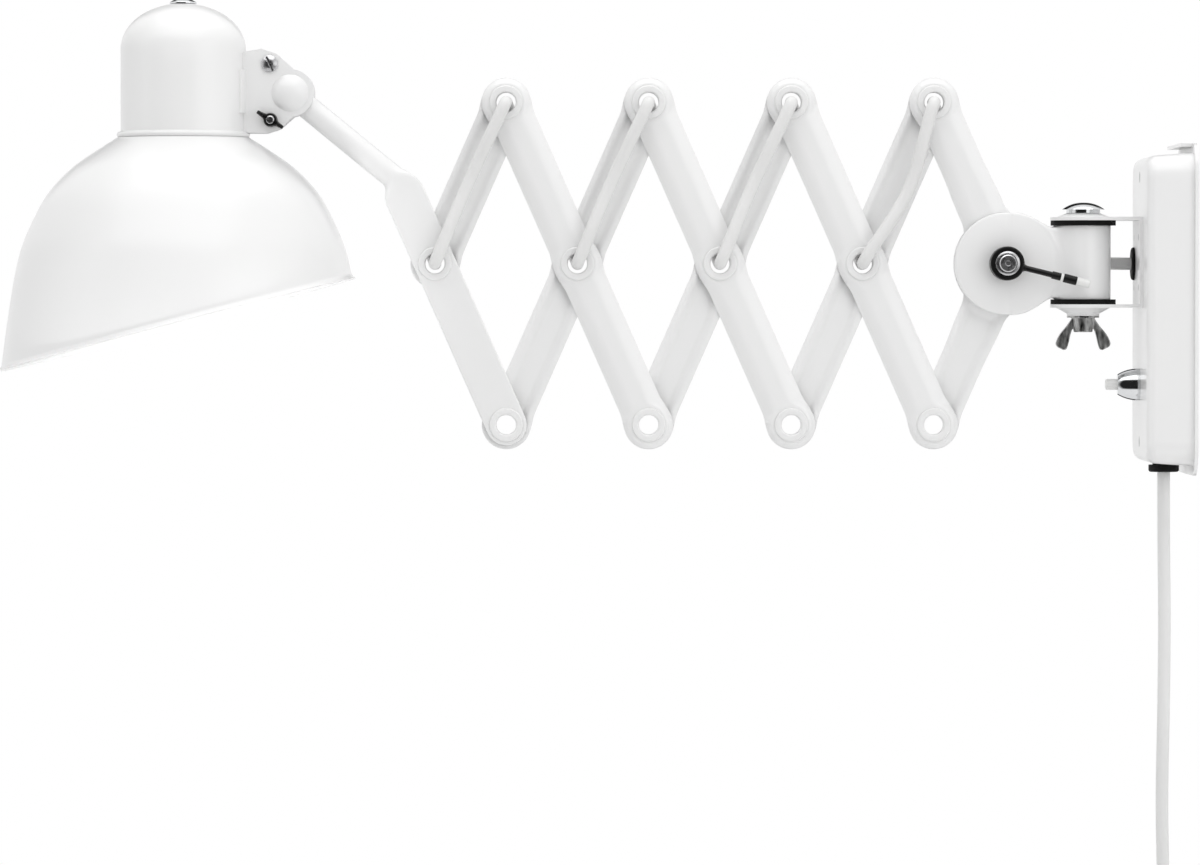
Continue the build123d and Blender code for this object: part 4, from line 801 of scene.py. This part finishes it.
def make_leads():
    """The cable from the box to the first rivet, and from the last one to the lamp holder."""
    bar_way = (uppers[1] - hub).normalized()

    def on_bar(along, lift):
        return hub + bar_way * along * MM + Vector((0, lift, 0)) * MM

    cover_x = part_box("base_cover")[0][0] / MM
    height = hub.z / MM
    near_barrel = Vector((-82.8, 19.4, 33.0)) * MM
    near_hub = Vector((-103.0, 15.7, 41.5)) * MM
    handover = (near_barrel + near_hub) / 2
    side = 14.0
    start = Vector((cover_x + 5.0, side, height)) * MM
    straight = Vector((cover_x - 16.8, side, height)) * MM
    swing = Vector((-59.8, 22.9, 28.0)) * MM
    first = [start, straight, swing, near_barrel, handover]
    second = [handover, near_hub, on_bar(28, 15.4), on_bar(44, cable_lift), on_bar(54, cable_lift)]
    box_side = bent_cable("base_lead_box_side", first)
    arm_side = bent_cable(
        "base_lead_arm_side", second
    )
    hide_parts("base_lead")
    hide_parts("base_lead")
    span = half_bar / MM
    stations = [(along, cable_lift) for along in (54, 66, 80)]
    stations += [(span - before, lift) for before, lift in into_rivet]
    smooth_cable("arm_cable_rear_1", [on_bar(*s) for s in stations], "front_link_1")
    down = (lowers[4] - middles[4]).normalized()
    tube_way = Vector((cos(tube_fall), 0, -sin(tube_fall)))
    bend = middles[4] - down * arm_bend * MM
    back = Vector((0, 1, 0)) * MM
    points = [
        middles[4],
        middles[4] + back * cable_lift * 0.55,
        middles[4] - down * 0.6 * MM + back * (cable_lift - 0.2),
        middles[4] - down * 8 * MM + back * (cable_lift + 0.4),
        middles[4] - down * 40 * MM + back * cable_lift,
        bend - tube_way * 4 * MM + back * 10,
        ball + tube_way * 50.1 * MM,
        ball + tube_way * 7.9 * MM,
    ]
    smooth_cable("head_lead", points, "head_link")
    low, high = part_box("holder_lead")
    shares = (0, 0.3, 0.6, 0.85, 1)
    points = [Vector((high[0] + (low[0] - high[0]) * share, 0, ball.z)) for share in shares]
    line = bent_cable("holder_lead_tube", points)
    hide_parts("holder_lead")


tube_fall = radians(39.3)
arm_bend = 52.9
make_leads()


# Shade: drawn sheet with a slanted rim and a small lip

shade_outline = (
    (39.0, 101.3),
    (52.0, 93.0),
    (65.6, 83.3),
    (79.7, 68.2),
    (89.2, 51.0),
    (95.1, 36.9),
    (98.6, 23.3),
    (102.8, -1.5),
    (107.3, -34.6),
    (109.4, -52.0),
)
shade_wall = 1.0
shade_mouth = 32.0
# The rim's plane: its low end, and its rise along the lamp's plane
rim_end = (-107.0, -36.3)
rim_slope = tan(radians(14.75))
# The flared lip: how far out of the wall and how far past the rim
shade_lip = (
    (0.0, -3.4), (0.1, -2.9), (0.35, -2.3), (0.8, -1.6), (1.3, -0.95),
    (1.7, -0.45), (1.85, -0.15), (1.8, 0.05), (1.5, 0.15),
)
rows_at_lip = 4


def spline_samples(points, count):
    """Even samples along a smooth line through the points."""
    points = np.array(points)
    knots = np.concatenate([[0], np.cumsum(np.hypot(*np.diff(points, axis=0).T))])
    slopes = np.gradient(points, knots, axis=0)
    samples = []
    for t in np.linspace(0, knots[-1], count):
        k = min(np.searchsorted(knots, t, side="right") - 1, len(knots) - 2)
        gap = knots[k + 1] - knots[k]
        s = (t - knots[k]) / gap
        samples.append(
            (2 * s**3 - 3 * s**2 + 1) * points[k]
            + (s**3 - 2 * s**2 + s) * gap * slopes[k]
            + (-2 * s**3 + 3 * s**2) * points[k + 1]
            + (s**3 - s**2) * gap * slopes[k + 1]
        )
    return np.array(samples)


def shade_piece():
    line = spline_samples(shade_outline, 400)
    tangents = np.gradient(line, axis=0)
    tangents /= np.linalg.norm(tangents, axis=1)[:, None]
    outward = np.stack([-tangents[:, 1], tangents[:, 0]], axis=1)
    known = np.hstack([line, outward, tangents])
    turns = 224
    rows = 84
    top = line[0]
    vertices = []
    for step in range(turns):
        turn = 2 * pi * step / turns
        x_share = cos(turn)
        above = line[:, 1] - (rim_end[1] + (line[:, 0] * x_share - rim_end[0]) * rim_slope)
        last = int(np.argmax(above < 0)) if np.any(above < 0) else len(line) - 1
        share = above[last - 1] / (above[last - 1] - above[last])
        wall = []
        for place in np.linspace(0, last - 1 + share, rows):
            k = min(int(place), len(line) - 2)
            f = place - k
            wall.append(known[k] * (1 - f) + known[k + 1] * f)
        wall = np.array(wall)
        rim, normal, tangent = wall[-1, 0:2], wall[-1, 2:4], wall[-1, 4:6]
        inner = wall[:, 0:2] - wall[:, 2:4] * shade_wall
        profile = list(wall[: rows - rows_at_lip, 0:2])
        profile += [rim + normal * out + tangent * down for out, down in shade_lip]
        profile += list(inner[:0:-1])
        profile.append((top[0] - 0.3, top[1] - shade_wall))
        profile += [(shade_mouth, top[1] - shade_wall), (shade_mouth, top[1])]
        for radius, height in profile:
            x = (neck_x / MM + radius * x_share) * MM
            vertices.append((x, radius * sin(turn) * MM, height * MM))
    count = len(vertices) // turns
    faces = []
    for step in range(turns):
        after = (step + 1) % turns
        for k in range(count):
            follow = (k + 1) % count
            first, second = step * count, after * count
            faces.append([first + k, second + k, second + follow, first + follow])
    piece = add_mesh("shade_shell", vertices, faces, "head", "enamel", crease=40)
    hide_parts("shade")


shade_piece()


# Cap over the lamp holder, its bead and its button


def arc(centre, width, rise, degrees):
    """Points of an ellipse about (radius, height), for the angles given."""
    turns = [radians(t) for t in degrees]
    return [(centre[0] + width * cos(t), centre[1] + rise * sin(t)) for t in turns]


def cap_pieces():
    place = (neck_x, 0, 0)
    hole = 5.2
    spring = 153.5
    dome = arc((0, spring), 36.9, 27.0, range(0, 91, 5))
    under = arc((0, spring), 35.7, 25.8, range(90, -1, -5))
    dome[-1] = (hole, spring + 26.85)
    under[0] = (hole, spring + 25.6)
    bead = [(35.7, 101.3)]
    bead += arc((37.55, 103.0), 1.75, 1.7, range(-80, 81, 16))
    bead += [(37.0, 105.0), (36.9, 105.8)]
    shell = lathe("cap_shell", bead + dome + under, place, (0, 0, 1), "head", "enamel", 144)
    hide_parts("cap_housing")
    top = 180.5
    button = [(0, top - 0.4), (8.0, top - 0.4), (8.0, top + 0.6), (5.5, top + 2.0), (0, top + 2.4)]
    button = rounded(button, [0, 0.2, 0.5, 2.5, 0], steps=5)
    cap_nut = lathe(
        "cap_button_dome", button, place, (0, 0, 1), "head", "bright_metal", closed=False
    )
    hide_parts("cap_button")


cap_pieces()


# Hub casting: barrel, two cheeks and the web that grows out of them


barrel_x = -62.8
bolt_bore = 4.05


def hub_field(x, y, z):
    hub_x = hub.x / MM
    hub_z = hub.z / MM
    barrel_low, barrel_high, barrel_radius, barrel_clear = 5.9, 49.5, 16.2, 19.5
    fork_inner, fork_outer, cheek, cheek_flat, dome = 5.3, 11.0, 30.0, 12.0, 2.6
    web_half, web_start = 28.5, 6.0
    swing_radius, swing_reach, slot_radius = 33.5, 19.5, 27.6
    reach = np.hypot(x - hub_x, z - hub_z)
    share = np.clip((reach - cheek_flat) / (cheek - cheek_flat), 0.0, 1.0)
    cheek_face = fork_outer - dome * share**2
    discs = soft_cut(reach - cheek, np.abs(y) - cheek_face, 0.9)
    across = np.hypot(x - barrel_x, y)
    ends = np.maximum(barrel_low - z, z - barrel_high)
    barrel = soft_cut(across - barrel_radius, ends, 0.5)
    along = np.clip((x - hub_x) / (barrel_x - hub_x), 0.0, 1.0)
    top = hub_z + web_half - 7.6 * smooth_step(along, 0.1, 0.72)
    bottom = hub_z - web_half + 9.0 * smooth_step(along, 0.1, 0.72)
    thick = 7.2 + 2.2 * smooth_step(along, 0.15, 0.7)
    web = soft_cut(np.maximum(z - top, bottom - z), np.abs(y) - thick, 2.5)
    web = np.maximum(web, np.maximum(hub_x + web_start - x, x - barrel_x))
    body = soft_union(soft_union(discs, web, 5.0), barrel, 4.5)
    swing = np.maximum(reach - swing_radius, x - (hub_x + swing_reach))
    slot = np.maximum(np.minimum(swing, reach - slot_radius), np.abs(y) - fork_inner)
    body = np.maximum(body, np.where(across < barrel_clear, ends, -1e3))
    body = np.maximum(body, -slot)
    body = np.maximum(body, bolt_bore - reach)
    return np.maximum(body, bolt_bore - across)


field_piece("hub_cast", "hub_casting", hub_field, 1.3, 0.55, "swivel", "enamel")


# Wing nuts


def wing_piece(name, node, body, place, axis, wing_way, sizes, slot):
    """Two flared ears on a round boss; axis points away from what the nut presses on.

    sizes: an ear's reach, drop, width and thickness, then the boss, washer and bore.
    """
    reach, drop, wide, thick, hub_radius, hub_high, washer, bore = sizes
    axis = Vector(axis).normalized()
    out = Vector(wing_way).normalized()
    side = axis.cross(out)
    origin = np.array(place) / MM
    frame_rows = np.array([tuple(out), tuple(side), tuple(axis)])

    def field(x, y, z):
        p = np.stack([x - origin[0], y - origin[1], z - origin[2]])
        u, v, h = np.tensordot(frame_rows, p, axes=1)
        cone = np.hypot(u, v) - (hub_radius - 0.10 * h)
        boss = soft_cut(cone, np.maximum(-h, h - hub_high), 0.5)
        if washer:
            ring = soft_cut(np.hypot(u, v) - washer, np.maximum(-h, h - washer_thick), 0.5)
            boss = np.minimum(boss, ring)
        a = np.array((hub_radius * 0.8, hub_high * 0.28))
        b = np.array((reach, drop))
        du, dh = b - a
        length = np.hypot(du, dh)
        s = ((np.abs(u) - a[0]) * du + (h - a[1]) * dh) / length
        t = (-(np.abs(u) - a[0]) * dh + (h - a[1]) * du) / length
        share = np.clip(s / length, 0.0, 1.0)
        half = wide * (0.5 + 0.5 * smooth_step(share, 0.1, 0.9)) / 2
        t = t + 0.9 * np.sin(share * pi) * wide / 7.4
        corner = wide * 0.3
        past = np.maximum(s - (length - corner), -s - corner)
        beyond = np.abs(t) - (half - corner)
        flat = np.hypot(np.maximum(past, 0), np.maximum(beyond, 0))
        flat = flat + np.minimum(np.maximum(past, beyond), 0) - corner
        ear = soft_cut(flat, np.abs(v) - thick * (0.5 + 0.35 * (1 - share)), 0.7)
        whole = soft_union(boss, ear, 0.9)
        return np.maximum(whole, bore - np.hypot(u, v))

    field_piece(name, node, field, 1.2, 0.28, body, slot, crease=45)


washer_thick = 1.1
wing_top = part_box("wing_nut")[1][2]
wing_sizes = (13.4, 19.3, 7.4, 3.0, 6.5, 9.6, 9.6, 4.02)
wing_piece("wing_nut_forged", "wing_nut", "wing_nut_body", (barrel_x * MM, 0, wing_top),
           (0, 0, -1), (1, 0, 0), wing_sizes, "plain_steel")
small_place = joint_places["clamp_wing_turn"].copy()
small_place.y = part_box("clamp_wing_nut")[1][1]
small_turn = radians(32)
small_way = (cos(small_turn), 0, -sin(small_turn))
small_sizes = (7.4, 7.8, 4.6, 2.0, 4.2, 4.6, 0.0, 2.52)
wing_piece("clamp_wing_forged", "clamp_wing_nut", "clamp_nut_body", small_place,
           (0, -1, 0), small_way, small_sizes, "dark_steel")


# Clamp lever: cranked black lever with a sleeve and a pale tip


def lever_field(x, y, z):
    drop = radians(14.3)
    rod_radius, rod_end = 1.7, 33.5
    boss_radius, boss_front, boss_back = 10.0, -24.8, -11.2
    reach_x = x - hub.x / MM
    reach_z = z - hub.z / MM
    along = reach_x * cos(drop) - reach_z * sin(drop)
    aside = reach_x * sin(drop) + reach_z * cos(drop)
    rod_y = y + 18.0 + 4.1 * smooth_step(along, 6.0, 24.0)
    round_rod = np.hypot(rod_y, aside)
    rod = np.maximum(round_rod - rod_radius, np.maximum(-along, along - rod_end))
    collar = soft_cut(round_rod - 2.25, np.maximum(27.0 - along, along - 32.4), 0.3)
    sleeve = soft_cut(round_rod - 2.6, np.maximum(34.0 - along, along - 42.0), 0.4)
    across = np.hypot(reach_x, reach_z)
    boss = soft_cut(across - boss_radius, np.maximum(boss_front - y, y - boss_back), 1.2)
    body = soft_union(boss, rod, 2.2)
    body = np.minimum(np.minimum(body, collar), sleeve)
    return np.maximum(body, bolt_bore - across)


field_piece("clamp_lever_cast", "clamp_lever", lever_field, 1.0, 0.3, "lever", "dark_steel", 50)


def hub_bolt_piece():
    """Hub screw with the cone washer under its head and a centre mark in its end."""
    shank = [(0, -18.7), (4.0, -18.7), (4.0, 26.15)]
    washer = [(7.1, 26.15), (7.1, 26.4), (5.9, 27.1), (5.5, 27.1), (5.5, 26.4)]
    head = [(5.1, 26.4), (5.1, 28.9), (4.5, 29.5), (1.7, 29.5), (1.3, 28.7), (0, 28.7)]
    profile = shank + washer + head
    piece = lathe(
        "hub_bolt_turned", profile, hub, (0, -1, 0), "swivel", "bright_metal", closed=False
    )
    dress(piece, satin_chrome)
    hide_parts("hub_bolt")


hub_bolt_piece()


# Clamp fasteners: slotted screw above, threaded stud below, a nut behind each


def clamp_screw_pieces():
    shank_radius, shank_end, nut_seat, nut_end = 2.45, 13.6, 9.0, 12.6
    thread_radius, thread_pitch, thread_depth = 2.25, 0.9, 0.16
    slot_half, slot_floor, slot_way = 0.65, -10.6, radians(25)
    for name, place, stud in (
        ("clamp_screw_slotted", clamp_upper, False),
        ("clamp_stud_threaded", clamp_lower, True),
    ):
        centre_x, centre_z = place

        def field(x, y, z):
            u, v = x - centre_x, z - centre_z
            reach = np.hypot(u, v)
            if stud:
                turns = y / thread_pitch - np.arctan2(v, u) / (2 * pi)
                thread = thread_depth * np.cos(2 * pi * turns)
                ends = np.maximum(-16.6 - y, y - shank_end)
                front = soft_cut(reach - thread_radius - thread * (y < -8), ends, 0.5)
            else:
                shank = np.maximum(reach - shank_radius, np.maximum(-9.0 - y, y - shank_end))
                dome = np.maximum(np.hypot(reach, y + 4.2) - 7.9, y + 7.6)
                head = soft_cut(np.maximum(dome, reach - 5.0), -12.1 - y, 0.5)
                along = u * cos(slot_way) + v * sin(slot_way)
                slot = np.maximum(np.abs(along) - slot_half, y - slot_floor)
                front = np.minimum(np.maximum(head, -slot), shank)
            flats = np.maximum(np.abs(v), np.abs(u) * sin(radians(60)) + np.abs(v) * 0.5) - 4.0
            nut = np.maximum(flats, np.maximum(nut_seat - y, y - nut_end))
            nut = soft_cut(nut, np.hypot(reach, y - 8.0) - 6.1, 0.3)
            return np.minimum(front, nut)

        low = (centre_x - 6, -17.5, centre_z - 6)
        high = (centre_x + 6, 15, centre_z + 6)
        piece = implicit(name, field, low, high, 0.3, "head", "bright_metal", crease=38)
        dress(piece, satin_chrome)
        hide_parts("clamp_screws")


clamp_upper = (-542.4, 144.5)
clamp_lower = (small_place.x / MM, small_place.z / MM)
clamp_screw_pieces()


# Head arm: round tube that flattens into the last bar


def section_ring(centre, across, up, half_thick, half_wide, squareness, count=48):
    """Closed ring between a circle (squareness 0) and a rounded rectangle (1)."""
    ring = []
    for step in range(count):
        turn = 2 * pi * step / count
        power = 2 / (2 + 6 * squareness)
        c, s = cos(turn), sin(turn)
        x = copysign(half_thick * abs(c) ** power, c)
        z = copysign(half_wide * abs(s) ** power, s)
        ring.append(centre + across * x * MM + up * z * MM)
    return ring


def cut_holes(obj, places, radius):
    """Round holes through the piece, square to the arm's plane."""
    for index, place in enumerate(places):
        cutter = cutter_mesh(f"cutter_{index}", radius, 9.0, place, (0, 1, 0))
        cut = obj.modifiers.new("hole", "BOOLEAN")
        cut.operation = "DIFFERENCE"
        cut.solver = "EXACT"
        cut.object = cutter
        bpy.context.view_layer.objects.active = obj
        bpy.ops.object.modifier_apply(modifier=cut.name)
        bpy.data.objects.remove(cutter)
    smooth(obj, 40)


def head_arm_piece():
    tube_radius = 7.1
    tube_length = 82.1
    flat_thick = head_bar_thick / 2
    flat_wide = 12.1
    flat_y = -(bar_gap + head_bar_thick / 2)
    bar_way = (lowers[4] - middles[4]).normalized()
    tube_way = Vector((cos(tube_fall), 0, -sin(tube_fall)))
    side = Vector((0, 1, 0))
    rings = []
    for along in (7.0, 30.0, 55.0, 68.0, 72.0, 75.0):
        centre = ball + tube_way * along * MM
        rings.append(
            section_ring(centre, side, tube_way.cross(side), tube_radius, tube_radius, 0.0)
        )
    steps = 10
    start = ball + tube_way * (tube_length - 6.0) * MM
    bend = middles[4] - bar_way * arm_bend * MM
    end = bend + bar_way * 9.0 * MM
    for step in range(1, steps + 1):
        share = step / steps
        soft = share * share * (3 - 2 * share)
        centre = start * (1 - share) ** 2 + bend * 2 * share * (1 - share) + end * share**2
        way = (tube_way * (1 - share) + bar_way * share).normalized()
        centre = centre + side * flat_y * soft * MM
        half_thick = tube_radius + (flat_thick - tube_radius) * soft
        half_wide = tube_radius + (flat_wide - tube_radius) * soft
        rings.append(section_ring(centre, side, way.cross(side), half_thick, half_wide, soft))
    up = bar_way.cross(side)
    length = half_bar / MM
    flat = [(float(along), flat_wide) for along in np.linspace(-40.0, length, 26)]
    for turn in range(10, 90, 8):
        flat.append((length + flat_wide * sin(radians(turn)), flat_wide * cos(radians(turn))))
    for along, half_wide in flat:
        centre = middles[4] + bar_way * along * MM + side * flat_y * MM
        rings.append(section_ring(centre, side, up, flat_thick, half_wide, 1.0))
    count = len(rings[0])
    vertices = [p for ring in rings for p in ring]
    faces = []
    for k in range(len(rings) - 1):
        first, second = k * count, (k + 1) * count
        for step in range(count):
            after = (step + 1) % count
            faces.append([first + step, first + after, second + after, second + step])
    faces.append(list(range(count))[::-1])
    faces.append([(len(rings) - 1) * count + step for step in range(count)])
    arm = add_mesh("head_arm_tube", vertices, faces, "head_link", "enamel", crease=40)
    cut_holes(arm, [middles[4], lowers[4]], rivet_hole)
    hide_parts("head_arm")


head_arm_piece()


# Stage: pale floor, soft lamps


def lamp(name, kind, place, target, power, **settings):
    data = bpy.data.lights.new(name, kind)
    data.energy = power
    for setting, value in settings.items():
        setattr(data, setting, value)
    aimed(name, data, place, target)


def calculated(tree, operation, *values):
    node = tree.nodes.new("ShaderNodeMath")
    node.operation = operation
    for value, target in zip(values, node.inputs):
        tree.links.new(value, target)
    return node.outputs[0]


def mixed(tree, factor, first, second):
    """Shader that goes from the first to the second with the factor."""
    mix = new_node(tree, "MixShader", Fac=factor)
    tree.links.new(first.outputs[0], mix.inputs[1])
    tree.links.new(second.outputs[0], mix.inputs[2])
    return mix


world_level = 0.70
white = (1.0, 1.0, 1.0, 1.0)


def make_world():
    """White for the camera; metal also meets the dark studio before and beyond the lamp."""
    world = bpy.data.worlds.new("studio")
    scene.world = world
    world.use_nodes = True
    tree = world.node_tree
    plain = set_inputs(tree.nodes["Background"], Color=white, Strength=world_level)
    seen = new_node(tree, "Background", Color=white, Strength=1.0)
    ways = new_node(tree, "TexCoord").outputs["Generated"]
    ways = new_node(tree, "SeparateXYZ", Vector=ways).outputs
    height = calculated(tree, "ABSOLUTE", ways["Z"])
    width = calculated(tree, "ABSOLUTE", ways["X"])
    depth = ways["Y"]
    # The last two numbers of each: the edges of a soft step, as parts of a unit vector
    past_band = ranged(tree, height, 0.0, 1.0, 0.50, 0.62)
    past_front = ranged(tree, depth, 0.0, 1.0, -0.62, -0.40)
    front = calculated(tree, "MAXIMUM", past_band, past_front)
    before_rim = ranged(tree, depth, 1.0, 0.0, 0.66, 0.74)
    past_rim = ranged(tree, depth, 0.0, 1.0, 0.94, 0.97)
    beside_rim = ranged(tree, width, 0.0, 1.0, 0.3, 0.45)
    level_rim = ranged(tree, height, 1.0, 0.0, 0.15, 0.25)
    rim = calculated(tree, "MAXIMUM", before_rim, past_rim)
    rim = calculated(tree, "MAXIMUM", rim, calculated(tree, "MAXIMUM", beside_rim, level_rim))
    bright = calculated(tree, "MULTIPLY", front, rim)
    tone = mixed_colour(tree, bright, grey(0.02), grey(1.0))
    mirrored = new_node(tree, "Background", Color=tone, Strength=1.0)
    rays = new_node(tree, "LightPath").outputs
    direct = calculated(tree, "MAXIMUM", rays["Is Camera Ray"], rays["Is Transmission Ray"])
    light = mixed(tree, rays["Is Glossy Ray"], plain, mirrored)
    mix = mixed(tree, direct, light, seen)
    set_inputs(tree.nodes["World Output"], Surface=mix.outputs[0])


def make_floor():
    """Pale floor that fades to white for the camera, and that metal doesn't mirror."""
    floor_z = cad_box[0][2] - 0.12
    half = 14.0
    mesh = bpy.data.meshes.new("floor")
    corners = [(-half, -half), (half, -half), (half, half), (-half, half)]
    mesh.from_pydata([(x, y, floor_z) for x, y in corners], [], [(0, 1, 2, 3)])
    floor = bpy.data.objects.new("floor", mesh)
    scene.collection.objects.link(floor)
    material, tree, shader = new_material("floor_white")
    set_inputs(shader, Base_Color=(0.86, 0.86, 0.86, 1.0), Roughness=0.8)
    glow = new_node(tree, "Emission", Strength=1.0)
    place = new_node(tree, "NewGeometry").outputs["Position"]
    length = tree.nodes.new("ShaderNodeVectorMath")
    length.operation = "LENGTH"
    tree.links.new(place, length.inputs[0])
    fade = ranged(tree, length.outputs["Value"], 0.35, 1.0, 1.0, 2.3)
    rays = new_node(tree, "LightPath").outputs
    faded = calculated(tree, "MULTIPLY", fade, rays["Is Camera Ray"])
    clear = new_node(tree, "BsdfTransparent")
    passed = mixed(tree, rays["Is Glossy Ray"], mixed(tree, faded, shader, glow), clear)
    set_inputs(tree.nodes["Material Output"], Surface=passed.outputs[0])
    dress(floor, material)


make_world()
make_floor()
for name, place, target, width, height, power in (
    ("key", (-0.6, -1.0, 2.1), (-0.35, 0, 0.0), 3.4, 2.2, 23.5),
    ("fill", (1.4, -2.0, 0.35), (-0.3, 0, 0.0), 1.8, 1.8, 12.5),
    ("top", (-0.35, 0.3, 1.7), (-0.35, 0, 0.0), 1.8, 1.0, 7.0),
):
    lamp(name, "AREA", place, target, power, shape="RECTANGLE", size=width, size_y=height)
# Light thrown back up into the shade's mouth
lamp("below", "SPOT", (neck_x - 0.02, -0.30, -0.42), (neck_x, 0.06, 0.03), 9.0,
     spot_size=radians(30.0), spot_blend=0.6, shadow_soft_size=0.06)
scene.view_settings.view_transform = "Standard"
